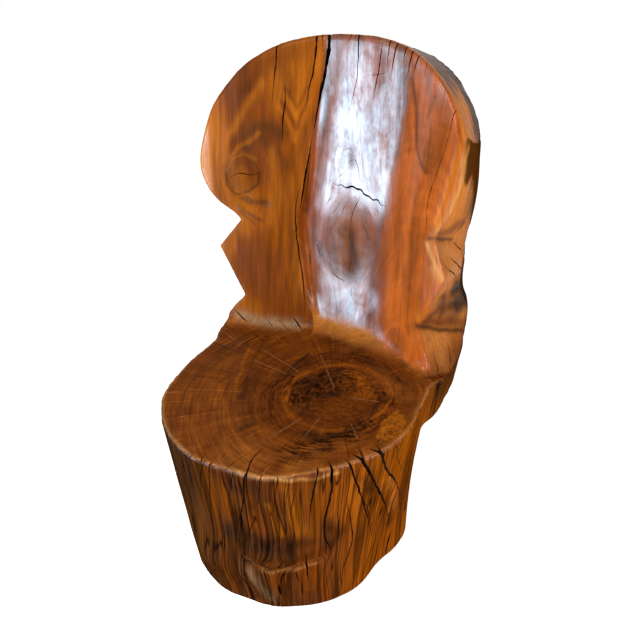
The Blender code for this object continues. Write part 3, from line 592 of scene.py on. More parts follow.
# How amber and how dark the seat's end grain is at a distance from the pith
SEAT_AMBER = ((0.0, 0.25), (0.02, 0.15), (0.05, 0.25), (0.085, 0.10), (0.100, 0.15), (0.105, 0.70),
              (0.110, 0.70), (0.117, 0.15), (0.158, 0.22), (0.172, 0.45), (0.186, 0.20), (0.21, 0.22),
              (0.224, 0.45), (0.238, 0.30), (0.28, 0.45), (0.33, 0.35), (0.40, 0.45))
SEAT_DARK = ((0.0, 0.55), (0.02, 0.75), (0.045, 0.80), (0.083, 0.90), (0.098, 0.45), (0.106, 0.05),
             (0.116, 0.25), (0.135, 0.60), (0.155, 0.40), (0.172, 0.10), (0.20, 0.22), (0.228, 0.05),
             (0.26, 0.15), (0.40, 0.0))
SEAT_DARK_ANGLE = 140.0

# Where black streaks run through the wood: share, half width, and the photograph's pixels
BLACKENED_STROKES = (
    (1.0, 0.030, ((290, 452), (310, 448), (335, 440), (360, 430), (374, 418))),
    (0.9, 0.020, ((376, 392), (388, 398), (392, 410))),
    (0.9, 0.022, ((296, 372), (292, 390), (298, 405))),
    (0.8, 0.020, ((240, 345), (262, 338), (285, 340))),
    # This streak's lower end, in the hollow above the burl's ledge, is partly painted shade
    (0.9, 0.030, ((232, 482), (245, 500), (238, 522), (250, 545), (285, 548))),
    (0.7, 0.020, ((325, 525), (338, 532), (330, 545))),
    (0.7, 0.024, ((366, 474), (380, 500), (390, 520))),
    (0.6, 0.020, ((345, 232), (352, 250), (352, 268))),
    (0.5, 0.014, ((312, 150), (309, 175), (305, 205))),
    (0.5, 0.014, ((334, 52), (330, 90), (326, 130))),
)

# Painted figure, with painted highlights and painted shade among it where marked: colour, strength, half
# width, and the photograph's pixels that it follows
STROKES = (
    (UMBER, 0.75, 0.016, ((243, 146), (255, 127), (268, 128), (282, 134))),
    (UMBER, 0.60, 0.018, ((262, 140), (272, 150), (285, 165))),
    (CHESTNUT, 0.60, 0.020, ((258, 66), (275, 58), (296, 52))),
    (UMBER, 0.40, 0.014, ((240, 95), (252, 82), (262, 74))),
    (CHESTNUT, 0.55, 0.016, ((275, 60), (285, 75), (290, 90))),
    (AMBER, 0.85, 0.009, ((222, 160), (228, 135), (243, 110), (262, 84))),
    (AMBER, 0.60, 0.006, ((232, 158), (240, 145), (258, 135))),
    (AMBER, 0.55, 0.012, ((272, 150), (276, 190), (270, 225))),
    (AMBER, 0.80, 0.0045, ((279, 105), (288, 120), (295, 142), (301, 122), (308, 100))),
    (UMBER, 0.60, 0.0035, ((282, 100), (290, 113), (296, 130), (301, 115), (308, 96))),
    (AMBER, 0.75, 0.0040, ((284, 94), (291, 104), (296, 118), (301, 106), (307, 90))),
    (UMBER, 0.50, 0.0035, ((286, 88), (292, 97), (297, 108), (302, 98), (307, 86))),
    (AMBER, 0.70, 0.0045, ((226, 170), (232, 158), (244, 154), (256, 160))),
    (CHAR, 0.55, 0.0040, ((226, 174), (227, 185), (235, 193), (248, 192), (258, 184), (260, 172))),
    (CHAR, 0.55, 0.009, ((243, 197), (252, 202), (266, 202))),
    (UMBER, 0.65, 0.005, ((239, 206), (250, 215), (262, 222))),
    (CHAR, 0.50, 0.0035, ((240, 211), (248, 219), (256, 224))),
    (STRAW, 0.70, 0.014, ((240, 316), (262, 321), (296, 325))),
    (SAND, 0.85, 0.018, ((438, 248), (450, 252), (459, 260), (452, 272))),
    (SAND, 0.45, 0.020, ((426, 334), (445, 340), (442, 360))),
    (CHESTNUT, 0.70, 0.014, ((436, 236), (450, 230), (464, 222))),
    # Painted shade: a dark line in the upper notch's valley
    (CHAR, 0.80, 0.005, ((430, 239), (440, 240), (452, 239))),
    (HONEY, 0.70, 0.010, ((446, 287), (436, 298), (420, 320))),
    # Under the lower tooth: bark brown with painted shade over it, this stroke and the four after it
    (UMBER, 0.85, 0.016, ((443, 297), (444, 312))),
    (CHESTNUT, 0.85, 0.016, ((449, 304), (440, 310), (428, 321), (448, 322), (464, 321))),
    (BARK, 0.97, 0.026, ((453, 290), (462, 283), (462, 298), (454, 303))),
    (CHAR, 0.80, 0.018, ((456, 288), (465, 284), (466, 300), (458, 308))),
    (CHAR, 0.60, 0.004, ((454, 287), (456, 308))),
    # Painted shade: a dark line in the lower notch's valley
    (CHAR, 0.80, 0.006, ((418, 325), (430, 328), (445, 331), (462, 330))),
    (ROSE, 0.35, 0.024, ((430, 262), (432, 280), (424, 300))),
    # Painted highlights: the tooth's crest, then the head's right ridge, this stroke and the three after it
    (PAINTED_HIGHLIGHT, 0.70, 0.0045, ((427, 243), (432, 258), (438, 270), (443, 281))),
    (PAINTED_HIGHLIGHT, 0.40, 0.012, ((434, 270), (441, 281))),
    (PAINTED_HIGHLIGHT, 0.70, 0.006, ((468, 132), (466, 160), (460, 190), (450, 211))),
    (PAINTED_HIGHLIGHT, 0.50, 0.005, ((450, 211), (442, 224), (434, 236))),
    # The head's right outer side: bark brown, partly painted shade
    (UMBER, 0.90, 0.022, ((475, 112), (477, 140), (476, 170), (472, 205))),
    (CHESTNUT, 0.50, 0.012, ((418, 95), (421, 130), (425, 160))),
    (UMBER, 0.35, 0.012, ((300, 130), (303, 160), (298, 190), (292, 230))),
    (UMBER, 0.45, 0.008, ((330, 60), (327, 100), (322, 140), (314, 180), (306, 215))),
    (AMBER, 0.40, 0.010, ((303, 215), (307, 250), (312, 300), (316, 330))),
    (UMBER, 0.45, 0.008, ((292, 235), (296, 270), (300, 310))),
    (CHESTNUT, 0.55, 0.022, ((420, 70), (438, 95), (440, 130), (432, 165))),
    (UMBER, 0.85, 0.0045, ((412, 78), (415, 95), (417, 115), (417, 150), (421, 165), (426, 173))),
    (UMBER, 0.60, 0.0040, ((399, 108), (400, 130), (399, 155))),
    (UMBER, 0.60, 0.0045, ((434, 96), (429, 117), (430, 138), (427, 172))),
    (UMBER, 0.45, 0.0060, ((404, 70), (406, 95), (408, 120), (408, 150))),
    (CHESTNUT, 0.45, 0.0060, ((420, 185), (414, 215), (412, 250), (410, 290))),
    (CHESTNUT, 0.35, 0.0050, ((405, 200), (402, 240), (403, 285))),
    (AMBER, 0.45, 0.040, ((345, 215), (350, 250), (350, 280))),
    (CHAR, 0.55, 0.012, ((352, 232), (352, 250), (356, 266))),
    (UMBER, 0.50, 0.012, ((322, 240), (328, 262), (345, 279), (362, 278))),
    (CHAR, 0.75, 0.005, ((319, 242), (321, 256))),
    (UMBER, 0.60, 0.014, ((322, 338), (340, 343), (362, 352))),
    (UMBER, 0.45, 0.010, ((395, 345), (400, 355), (404, 366))),
    (CHAR, 0.80, 0.006, ((293, 368), (300, 360), (308, 355))),
    (CHAR, 0.75, 0.008, ((296, 384), (306, 380), (320, 389))),
    (CHAR, 0.60, 0.010, ((306, 392), (318, 396), (330, 394))),
    (AMBER, 0.55, 0.020, ((350, 375), (362, 384), (364, 394))),
    (TAN, 0.16, 0.026, ((374, 372), (394, 384), (402, 396))),
    (CHAR, 0.60, 0.006, ((340, 372), (352, 382), (356, 392))),
    (CHAR, 0.85, 0.0045, ((333, 394), (339, 396))),
    (CHAR, 0.70, 0.014, ((306, 434), (325, 438), (341, 434), (358, 426))),
    (CHAR, 0.65, 0.010, ((286, 450), (298, 456), (314, 452), (330, 448))),
    (CHAR, 0.70, 0.006, ((366, 420), (376, 408), (384, 396))),
    (CHESTNUT, 0.80, 0.010, ((330, 460), (345, 456), (362, 446))),
    (AMBER, 0.60, 0.0035, ((234, 400), (238, 378), (247, 352), (262, 334))),
    (CHAR, 0.45, 0.006, ((243, 398), (247, 376), (256, 354), (268, 338))),
    (AMBER, 0.60, 0.004, ((224, 404), (221, 392), (226, 380))),
    (UMBER, 0.50, 0.020, ((255, 370), (250, 400), (258, 420))),
    (UMBER, 0.45, 0.016, ((200, 372), (225, 350), (245, 336))),
    (CHAR, 0.65, 0.006, ((376, 392), (384, 394), (391, 397))),
    (CHAR, 0.55, 0.006, ((398, 378), (404, 386))),
    (CHAR, 0.55, 0.008, ((240, 430), (252, 424))),
    (AMBER, 0.55, 0.005, ((215, 406), (219, 392), (219, 384))),
    (CHAR, 0.60, 0.014, ((224, 474), (230, 484), (240, 492), (250, 486))),
    (UMBER, 0.80, 0.016, ((243, 483), (255, 492), (262, 502))),
    (UMBER, 0.75, 0.014, ((232, 525), (240, 515), (246, 505))),
    # Painted shade over darker wood in the hollow above the burl's ledge and in its groove, this stroke and
    # the two after it
    (CHAR, 0.90, 0.032, ((232, 532), (256, 543), (276, 548))),
    (UMBER, 0.85, 0.022, ((240, 538), (262, 545), (288, 548), (305, 540))),
    (CHAR, 0.50, 0.010, ((244, 558), (262, 566), (284, 567))),
    (UMBER, 0.60, 0.016, ((325, 525), (338, 532), (330, 545))),
    # Painted shade under the burl's ledge
    (UMBER, 0.70, 0.012, ((244, 553), (262, 560), (290, 560), (306, 556))),
    # The lower folds: a pale stroke on a ridge, partly painted highlight over greyish tan wood, and dark
    # lines in the grooves beside it, partly painted shade; this stroke and the two after it
    (STRAW, 0.50, 0.016, ((250, 572), (258, 586), (270, 598))),
    (CHAR, 0.70, 0.004, ((246, 572), (254, 588), (266, 602))),
    (CHAR, 0.50, 0.004, ((258, 572), (266, 586), (276, 600))),
    # Painted highlight along the burl's ledge
    (PAINTED_HIGHLIGHT, 0.24, 0.0045, ((262, 571), (290, 571), (318, 562))),
    # Painted highlight along the seat's front rim
    (PAINTED_HIGHLIGHT, 0.70, 0.0045, ((238, 472), (262, 478), (290, 480), (318, 478), (338, 472))),
    (GILT, 0.60, 0.016, ((286, 487), (294, 510), (300, 532))),
    (GILT, 0.25, 0.012, ((312, 486), (316, 512), (312, 535))),
    (GILT, 0.55, 0.010, ((268, 506), (276, 520), (280, 534))),
    (AMBER, 0.45, 0.008, ((340, 478), (352, 500), (360, 520))),
    (UMBER, 0.50, 0.012, ((366, 478), (378, 500))),
    # A pale streak on the drum's right fold, partly painted highlight
    (TAN, 0.55, 0.010, ((389, 478), (394, 492), (392, 508))),
)


def smooth(share):
    """Ease shares between 0 and 1."""
    held = np.clip(share, 0.0, 1.0)
    return held * held * (3.0 - 2.0 * held)


def rises(value, start, width):
    """Share that grows from 0 at a start to 1 a width later."""
    return smooth((value - start) / width)


def falls(value, end, width):
    """Share that drops from 1 to 0 over the width before an end."""
    return smooth((end - value) / width)


def blend(low, high, share):
    """The value a share of the way from low to high."""
    return low + (high - low) * share


def curve(start, end, rise_in, rise_out, share):
    """The value a share of the way along a smooth curve that leaves and arrives with given rises."""
    square = share * share
    cube = square * share
    return ((2.0 * cube - 3.0 * square + 1.0) * start + (cube - 2.0 * square + share) * rise_in
            + (3.0 * square - 2.0 * cube) * end + (cube - square) * rise_out)


def read_curve(points, place):
    """Read a table of (place, value) points along a smooth curve that holds still past its ends."""
    places, values = np.array(points, float).T
    held = np.clip(place, places[0], places[-1])
    index = np.clip(np.searchsorted(places, held, side='right') - 1, 0, len(places) - 2)
    before = np.maximum(index - 1, 0)
    after = np.minimum(index + 2, len(places) - 1)
    span = places[index + 1] - places[index]
    share = (held - places[index]) / span
    rise_in = span * (values[index + 1] - values[before]) / (places[index + 1] - places[before])
    rise_out = span * (values[after] - values[index]) / (places[after] - places[index])
    return curve(values[index], values[index + 1], rise_in, rise_out, share)


def read_round_curve(points, degrees):
    """Read a table of (angle, value) points all the way round."""
    before = [(angle - 360.0, value) for angle, value in points[-2:]]
    after = [(angle + 360.0, value) for angle, value in points[:2]]
    return read_curve(before + list(points) + after, degrees % 360.0)


def flutes(degrees):
    """Shallow natural waves round the log."""
    angle = np.radians(degrees)
    waves = sum(share * np.sin(count * angle + phase) for count, share, phase in FLUTES)
    return FLUTE_DEPTH * waves / sum(share for _, share, _ in FLUTES)


def flank(degrees, height):
    """The swelling of the right flank at the height of the lower notch."""
    turn = np.cos(np.radians(degrees - FLANK_ANGLE))
    up = (height - FLANK_HEIGHT) / np.where(height > FLANK_HEIGHT, FLANK_REACH_UP, FLANK_REACH_DOWN)
    return FLANK_BULGE * rises(turn, *FLANK_TURN) * np.exp(-up * up)


def waist(degrees, height):
    """The slight hollow of the drum's right side between the floor and the seat."""
    turn = np.cos(np.radians(degrees - WAIST_ANGLE))
    climb = np.minimum(height / SEAT_HEIGHT, 1.0)
    return WAIST_DEPTH * rises(turn, *WAIST_TURN) * np.sin(math.pi * climb)


def shelf(degrees, height):
    """The burl that swells out of the front of the drum near the floor."""
    across = rises(np.cos(np.radians(degrees - SHELF_ANGLE)), *SHELF_TURN)
    up = (height - SHELF_HEIGHT) / SHELF_REACH
    return SHELF_BULGE * across * np.exp(-up * up)


def opening(degrees):
    """Share of the thicker upper log at an angle: 1 behind the seat and 0 in front."""
    turned = degrees % 360.0
    return rises(turned, UPPER_START, UPPER_BLEND) * falls(turned, UPPER_END, UPPER_BLEND)


def log_points(degrees, height):
    """Points of the natural outer surface of the log, for arrays of angles and heights."""
    angle = np.radians(degrees)
    out = np.stack([np.cos(angle), np.sin(angle)], -1)
    climb = np.minimum(height / SEAT_HEIGHT, 1.0)
    base = out * (BASE_RADIUS * read_round_curve(BASE_SHARES, degrees))[..., None]
    base += (BASE_SHIFT_X, BASE_SHIFT_Y)
    seat = out * (SEAT_RADIUS * read_round_curve(SEAT_SHARES, degrees))[..., None]
    relief = flutes(degrees) + shelf(degrees, height) - waist(degrees, height)
    drum = blend(base, seat, climb[..., None]) + out * relief[..., None]
    above = np.maximum(height - SEAT_HEIGHT, 0.0)
    flare = 1.0 + blend(FLARE_LEFT, FLARE_RIGHT, 0.5 + 0.5 * out[..., 0]) * smooth(above / FLARE_HEIGHT)
    reach = UPPER_RADIUS * read_curve(UPPER_SHARES, degrees % 360.0) * flare
    upper = out * (reach + flank(degrees, height) + flutes(degrees))[..., None]
    upper[..., 1] += UPPER_LEAN * above
    share = opening(degrees) * rises(height, LOBE_BOTTOM, LOBE_ROUND)
    flat = blend(drum, upper, share[..., None])
    return np.concatenate([flat, height[..., None]], -1)


def crease_x(height):
    """Where the right wing of the face folds into its outer facet."""
    low_share = np.clip((height - SEAT_HEIGHT) / (CREASE_MID_Z - SEAT_HEIGHT), 0, 1)
    high_share = np.clip((height - CREASE_MID_Z) / (CREASE_HIGH_Z - CREASE_MID_Z), 0, 1)
    low = blend(CREASE_LOW_X, CREASE_MID_X, low_share)
    return np.where(height < CREASE_MID_Z, low, blend(CREASE_MID_X, CREASE_HIGH_X, high_share))


def step_x(height):
    """Where the left panel steps back to the hollow centre."""
    return HALF_BACK * read_curve(STEP_SHARES, (height - SEAT_HEIGHT) / BACK_HEIGHT)


def face_y(x, height):
    """Depth of the back's reclined, hollowed face."""
    left = read_curve(LEFT_FACE_SHARES, x / HALF_BACK) * FACE_DEPTH
    right = read_curve(RIGHT_FACE_SHARES, x / crease_x(height)) * FACE_DEPTH
    centre = rises(x, step_x(height), STEP_WIDTH)
    return blend(left, right, centre) + FACE_RAKE * (height - SEAT_HEIGHT)


def oriented(points, faces):
    """Points and faces of a closed mesh, its faces turned outwards."""
    fans = np.array([(face[0], face[i], face[i + 1]) for face in faces for i in range(1, len(face) - 1)])
    first, second, third = (points[fans[:, k]] for k in range(3))
    if np.einsum('ij,ij->', first, np.cross(second, third)) < 0.0:
        faces = [tuple(reversed(face)) for face in faces]
    return points, faces


def raw_object(name, points, faces):
    """An object of a mesh given by its points and faces."""
    mesh = bpy.data.meshes.new(name)
    mesh.from_pydata(np.asarray(points, float).tolist(), [], faces)
    piece = bpy.data.objects.new(name, mesh)
    bpy.context.scene.collection.objects.link(piece)
    return piece


def loft_parts(sections):
    """Points and faces of a closed solid through a row of loops that have the same point count."""
    sections = np.asarray(sections, float)
    rows, size = sections.shape[:2]
    faces = []
    for row in range(rows - 1):
        near = row * size
        far = near + size
        for i in range(size):
            j = (i + 1) % size
            faces.append((near + i, near + j, far + j))
            faces.append((near + i, far + j, far + i))
    faces.append(tuple(reversed(range(size))))
    faces.append(tuple((rows - 1) * size + i for i in range(size)))
    return sections.reshape(-1, 3), faces


def loft(name, sections):
    """A closed solid through a row of sections."""
    return raw_object(name, *oriented(*loft_parts(sections)))


def boolean(piece, tool, operation):
    """Cut or join a piece with a tool at once."""
    modifier = piece.modifiers.new(tool.name, 'BOOLEAN')
    modifier.operation = operation
    modifier.solver = 'MANIFOLD'
    modifier.object = tool
    bake(piece)


def bake(piece):
    """Apply a piece's modifiers."""
    carved = piece.evaluated_get(bpy.context.evaluated_depsgraph_get())
    mesh = bpy.data.meshes.new_from_object(carved)
    old = piece.data
    piece.modifiers.clear()
    piece.data = mesh
    bpy.data.meshes.remove(old)
    mesh.name = piece.name


def make_log(name):
    """The log before it is carved."""
    chamfer = [0.0, BASE_CHAMFER]
    rows = np.linspace(BASE_CHAMFER, SEAT_HEIGHT - RIM_ROUND, LOG_ROWS // 2)[1:]
    rim = SEAT_HEIGHT - RIM_ROUND * (1.0 - np.array(RIM_STEPS))
    upper = np.linspace(SEAT_HEIGHT, LOG_TOP, LOG_ROWS // 2)[1:]
    degrees = np.linspace(0.0, 360.0, LOG_SIDES, endpoint=False)
    out = np.stack([np.cos(np.radians(degrees)), np.sin(np.radians(degrees)), 0.0 * degrees], -1)
    sections = []
    for height in np.concatenate([chamfer, rows, rim, upper]):
        section = log_points(degrees, np.full(LOG_SIDES, height))
        drop = SEAT_HEIGHT - height
        if height == 0.0:
            section -= out * BASE_CHAMFER
        elif abs(drop) < RIM_ROUND:
            inset = RIM_ROUND - math.sqrt(RIM_ROUND ** 2 - (RIM_ROUND - max(drop, 0.0)) ** 2)
            section -= out * (inset * (1.0 - opening(degrees)))[:, None]
        sections.append(section)
    return loft(name, sections)


def face_columns(height):
    """Places of the face's columns from left to right, which follow the step and the crease."""
    step = float(step_x(height))
    crease = float(crease_x(height))
    return np.concatenate([
        np.linspace(-CUTTER_REACH, step, PANEL_COLUMNS),
        np.linspace(step, step + STEP_WIDTH, STEP_COLUMNS)[1:],
        np.linspace(step + STEP_WIDTH, crease, HOLLOW_COLUMNS)[1:],
        np.linspace(crease, CUTTER_REACH, WING_COLUMNS)[1:],
    ])


def seat_cutter():
    """What is cut away over the seat and in front of the back, with the fillet between."""
    top = LOG_TOP + OVERRUN
    low_x = face_columns(SEAT_HEIGHT)
    middle = low_x > step_x(SEAT_HEIGHT)
    narrowing = rises(low_x / HALF_BACK, *FILLET_NARROWS)
    fillet = np.where(middle, blend(FILLET_MIDDLE, FILLET_SIDE, narrowing), FILLET_SIDE)
    rise = fillet * np.where(middle, blend(FILLET_RISE_SHARE, 1.0, narrowing), 1.0)
    end_height = SEAT_HEIGHT + rise
    end_x = np.array([face_columns(height)[i] for i, height in enumerate(end_height)])
    low_y = face_y(low_x, SEAT_HEIGHT)
    level = np.full_like(low_x, SEAT_HEIGHT)
    start = np.stack([low_x, low_y - fillet, level], -1)
    corner = np.stack([low_x, low_y, level], -1)
    end = np.stack([end_x, face_y(end_x, end_height), end_height], -1)
    lines = [np.stack([low_x, 0.0 * low_x - CUTTER_REACH, level], -1)]
    for share in np.linspace(0.0, 1.0, FILLET_STEPS + 1):
        lines.append(blend(blend(start, corner, share), blend(corner, end, share), share))
    for row in range(FACE_ROWS):
        height = blend(end_height, top, (row + 1) / FACE_ROWS)
        row_x = np.array([face_columns(z)[i] for i, z in enumerate(height)])
        lines.append(np.stack([row_x, face_y(row_x, height), height], -1))
    lines.append(np.stack([row_x, 0.0 * row_x - CUTTER_REACH, 0.0 * row_x + top], -1))
    return loft("cut_seat_and_face", np.stack(lines, 1))


def outline_rows():
    """The outline's rows, with the dome's rounded stretches smoothed between their points."""
    table = np.array(OUTLINE)
    rows = []
    for i in range(len(table) - 1):
        round_stretch = min(table[i, 4], table[i + 1, 4]) > EDGE_CRISP
        before = table[i - 1] if round_stretch and table[i - 1, 4] > EDGE_CRISP else table[i]
        after = table[i + 2] if round_stretch and table[i + 2, 4] > EDGE_CRISP else table[i + 1]
        for step in range(DOME_STEPS):
            share = step / DOME_STEPS
            if round_stretch:
                bend_in = 0.5 * (table[i + 1] - before)
                bend_out = 0.5 * (after - table[i])
                rows.append(curve(table[i], table[i + 1], bend_in, bend_out, share))
            else:
                rows.append(blend(table[i], table[i + 1], share))
    rows.append(table[-1])
    return np.array(rows)


def outline_cutter():
    """What is cut away round the back's outline: its dome, notches and teeth."""
    beyond = np.array([0.0, 1.0, -BEYOND_DROP])
    sections = []
    for across, up, spread, drop, edge in outline_rows():
        x = across * HALF_BACK
        z = SEAT_HEIGHT + up * BACK_HEIGHT
        away = np.array([spread, 1.0, -drop])
        point = np.array([x, float(face_y(x, z)), z])
        if z < HEAD_MIDDLE:
            out = np.array([math.copysign(1.0, x), 0.0, 0.0])
        else:
            out = np.array([x, 0.0, z - HEAD_MIDDLE])
            out /= np.linalg.norm(out)
        far = out * CUTTER_REACH
        deep = point + away * BEND_DEPTH
        end = deep + beyond * (CUTTER_DEPTH - BEND_DEPTH)
        turns = np.linspace(0.0, 0.5 * math.pi, EDGE_STEPS)
        rounded = [point - out * edge * (1 - math.sin(turn)) + away * edge * (1 - math.cos(turn))
                   for turn in turns]
        sections.append([
            point - out * edge - away * FRONT_OVERRUN,
            *rounded,
            deep,
            end,
            end + far,
            deep + far,
            point - away * FRONT_OVERRUN + far,
        ])
    return loft("cut_outline", sections)


def remesh(piece):
    """Give a piece an even mesh of small quads and soften its edges as sanding does."""
    modifier = piece.modifiers.new("even", 'REMESH')
    modifier.mode = 'VOXEL'
    modifier.voxel_size = VOXEL
    bake(piece)
    modifier = piece.modifiers.new("sanded", 'SMOOTH')
    modifier.factor = SOFTENING
    modifier.iterations = SOFTENING_ROUNDS
    bake(piece)


def remove(*pieces):
    """Delete cutters and guides."""
    for piece in pieces:
        bpy.data.objects.remove(piece, do_unlink=True)


def read_points(mesh):
    """The mesh's points as an array."""
    points = np.empty(len(mesh.vertices) * 3)
    mesh.vertices.foreach_get("co", points)
    return points.reshape(-1, 3)


def carve():
    """The log cut to the chair's main shape, before its checks and sockets."""
    trunk = make_log("trunk_wood")
    face_cut = seat_cutter()
    outline_cut = outline_cutter()
    boolean(trunk, face_cut, 'DIFFERENCE')
    boolean(trunk, outline_cut, 'DIFFERENCE')
    remove(face_cut, outline_cut)
    remesh(trunk)
    return trunk


def value_noise(places, seed):
    """Smooth noise between -1 and 1 at each place, which has three numbers."""
    cell = np.floor(places)
    inside = smooth(places - cell)
    total = np.zeros(places.shape[:-1])
    for corner in itertools.product((0.0, 1.0), repeat=3):
        mixed = np.sin((cell + corner) @ np.array(NOISE_MIX) + NOISE_SEED_STEP * seed) * NOISE_SCATTER
        weight = np.prod(np.where(np.array(corner) > 0.5, inside, 1.0 - inside), axis=-1)
        total += weight * (mixed - np.floor(mixed))
    return 2.0 * total - 1.0


def make_camera():
    """The camera at the photograph's place."""
    data = bpy.data.cameras.new("camera")
    data.lens = CAMERA_LENS
    data.sensor_width = CAMERA_SENSOR
    camera = bpy.data.objects.new("camera", data)
    bpy.context.scene.collection.objects.link(camera)
    back = Vector(CAMERA_BACK).normalized()
    right = Vector(CAMERA_RIGHT)
    right = (right - back * right.dot(back)).normalized()
    turn = Matrix((right, back.cross(right), back)).transposed()
    camera.matrix_world = Matrix.Translation(CAMERA_PLACE) @ turn.to_4x4()
    bpy.context.scene.camera = camera
    return turn


def seen(pixel):
    """Place and outward direction of the wood that the photograph shows at a pixel.

    A pixel just off the wood is drawn towards the chair's middle.
    """
    half = 0.5 * PHOTO_SIZE
    for inwards in PIXEL_STEPS:
        x, y = (blend(pixel[k], PHOTO_MIDDLE[k], inwards) for k in range(2))
        ray = camera_turn @ Vector((x - half, half - y, -PHOTO_SCALE))
        place, out, _, _ = surface.ray_cast(Vector(CAMERA_PLACE), ray.normalized())
        if place is not None:
            return np.array(place), np.array(out)
    raise ValueError(f"no wood near pixel {pixel}")


def unit(vector):
    """The vector at length 1."""
    return np.asarray(vector, float) / np.linalg.norm(vector)


def wedge(stations, out, width, depth, ends, seed):
    """Points and faces of a check's V through its stations, ragged as split wood is."""
    open_start, open_end = ends
    stations = np.array(stations, float)
    if open_start:
        stations = np.vstack([stations[0] + unit(stations[0] - stations[1]) * CHECK_RUNOUT, stations])
    if open_end:
        stations = np.vstack([stations, stations[-1] + unit(stations[-1] - stations[-2]) * CHECK_RUNOUT])
    travelled = np.concatenate([[0.0], np.cumsum(np.linalg.norm(np.diff(stations, axis=0), axis=1))])
    count = max(int(travelled[-1] / CHECK_STEP), 4)
    reach = np.linspace(0.0, travelled[-1], count + 1)
    line = np.stack([read_curve(list(zip(travelled, stations[:, k])), reach) for k in range(3)], -1)
    side = np.cross(np.gradient(line, axis=0), out)
    side /= np.linalg.norm(side, axis=1)[:, None]
    low = 0.5 if open_start else 0.0
    high = 0.5 if open_end else 1.0
    share = np.clip(blend(low, high, reach / travelled[-1]), CHECK_END, 1.0 - CHECK_END)
    swell = np.sin(math.pi * share) ** CHECK_SWELL
    wander = np.stack([reach * CHECK_WAVES, 0.0 * reach + seed, 0.0 * reach], -1)
    jitter = CHECK_JITTER * min(width / CHECK_WIDE, 1.0)
    line = line + side * (jitter * value_noise(wander, seed) * swell)[:, None]
    ragged = 1.0 + CHECK_RAGGED * value_noise(wander * 1.7, seed + 5)
    half = side * (0.5 * np.maximum(width * swell * ragged, CHECK_TIP) * (1.0 + CHECK_LIFT / depth))[:, None]
    mouth = line + out * CHECK_LIFT
    bottom = line - out * depth * (0.55 + 0.45 * swell)[:, None]
    return oriented(*loft_parts(np.stack([mouth - half, mouth + half, bottom], 1)))


def joined(name, solids):
    """One object of closed solids that are given by their points and faces."""
    points, faces = [], []
    for more_points, more_faces in solids:
        faces += [tuple(len(points) + i for i in face) for face in more_faces]
        points += list(more_points)
    return raw_object(name, points, faces)


def check_cutter(name, group, seed):
    """One cutter for a table of checks that lie clear of each other."""
    wedges = []
    for index, (width, depth, ends, pixels) in enumerate(group):
        found = [seen(pixel) for pixel in pixels]
        out = unit(sum(normal for _, normal in found))
        wedges.append(wedge([place for place, _ in found], out, width, depth, ends, seed + index))
    return joined(name, wedges)


def hidden_cutter():
    """Checks of the sides that the photograph doesn't show, spread by a seeded draw."""
    draw = np.random.default_rng(HIDDEN_SEED)
    wedges = []
    for index in range(HIDDEN_CHECKS):
        share = (index + draw.uniform(0.2, 0.8)) / HIDDEN_CHECKS
        first, last, lowest, highest = HIDDEN_LOWER if index % 3 == 1 else HIDDEN_UPPER
        low = draw.uniform(lowest, highest)
        high = low + draw.uniform(*HIDDEN_LENGTH)
        heights = np.linspace(low, high, HIDDEN_STATIONS)
        turns = draw.uniform(-HIDDEN_TURN, HIDDEN_TURN, HIDDEN_STATIONS)
        degrees = blend(first, last, share) + turns.cumsum() * 0.5
        angle = math.radians(float(degrees.mean()))
        out = np.array([math.cos(angle), math.sin(angle), 0.0])
        width = HIDDEN_WIDTH * draw.uniform(0.4, 1.2)
        wedges.append(wedge(log_points(degrees, heights), out, width, HIDDEN_DEPTH, INSIDE, 40 + index))
    return joined("cut_hidden", wedges)


def seat_place(degrees, reach):
    """A point of the seat at an angle and a distance from the pith."""
    angle = math.radians(degrees)
    return np.array([PITH_X + reach * math.cos(angle), PITH_Y + reach * math.sin(angle), SEAT_HEIGHT])


def oval_prism(name, centre, inwards, radius_x, radius_z, gap):
    """A tapered oval prism that goes into the wood, smaller all round by a gap."""
    across = unit((-inwards[1], inwards[0], 0.0))
    upright = unit(np.cross(across, inwards))
    turn = np.linspace(0.0, 2.0 * math.pi, KNOT_SIDES, endpoint=False)
    ripple = 1.0 + KNOT_RIPPLE * np.sin(3 * turn + 1.0)
    sections = []
    for reach, share in ((-OVERRUN, 1.0), (0.0, 1.0), (SOCKET_DEPTH - gap, KNOT_TAPER)):
        x = (radius_x * share * ripple - gap) * np.cos(turn)
        z = (radius_z * share * ripple - gap) * np.sin(turn)
        sections.append(centre + inwards * reach + across * x[:, None] + upright * z[:, None])
    return loft(name, sections)


def strip_prism(name, degrees, inner, outer, gap):
    """A thin strip that lies in a radial slot of the seat, smaller all round by a gap."""
    along = unit(seat_place(degrees, outer) - seat_place(degrees, inner))
    side = np.array([-along[1], along[0], 0.0]) * (0.5 * FILLER_WIDTH - gap)
    start = seat_place(degrees, inner + gap)
    end = seat_place(degrees, outer - gap)
    sections = []
    for height in (-FILLER_DEPTH + gap, OVERRUN):
        lift = np.array([0.0, 0.0, height])
        sections.append([start - side + lift, start + side + lift, end + side + lift, end - side + lift])
    return loft(name, sections)


def patch_prism(name, gap):
    """The filled bark pocket near the seat's right rim, smaller all round by a gap."""
    middle = seat_place(PATCH_ANGLE, PATCH_REACH)
    sections = []
    for height in (-PATCH_DEPTH + gap, OVERRUN):
        loop = []
        for degrees, share in PATCH_SHARES:
            angle = math.radians(degrees)
            reach = PATCH_RADIUS * share - gap
            loop.append(middle + (reach * math.cos(angle), reach * math.sin(angle), height))
        sections.append(loop)
    return loft(name, sections)


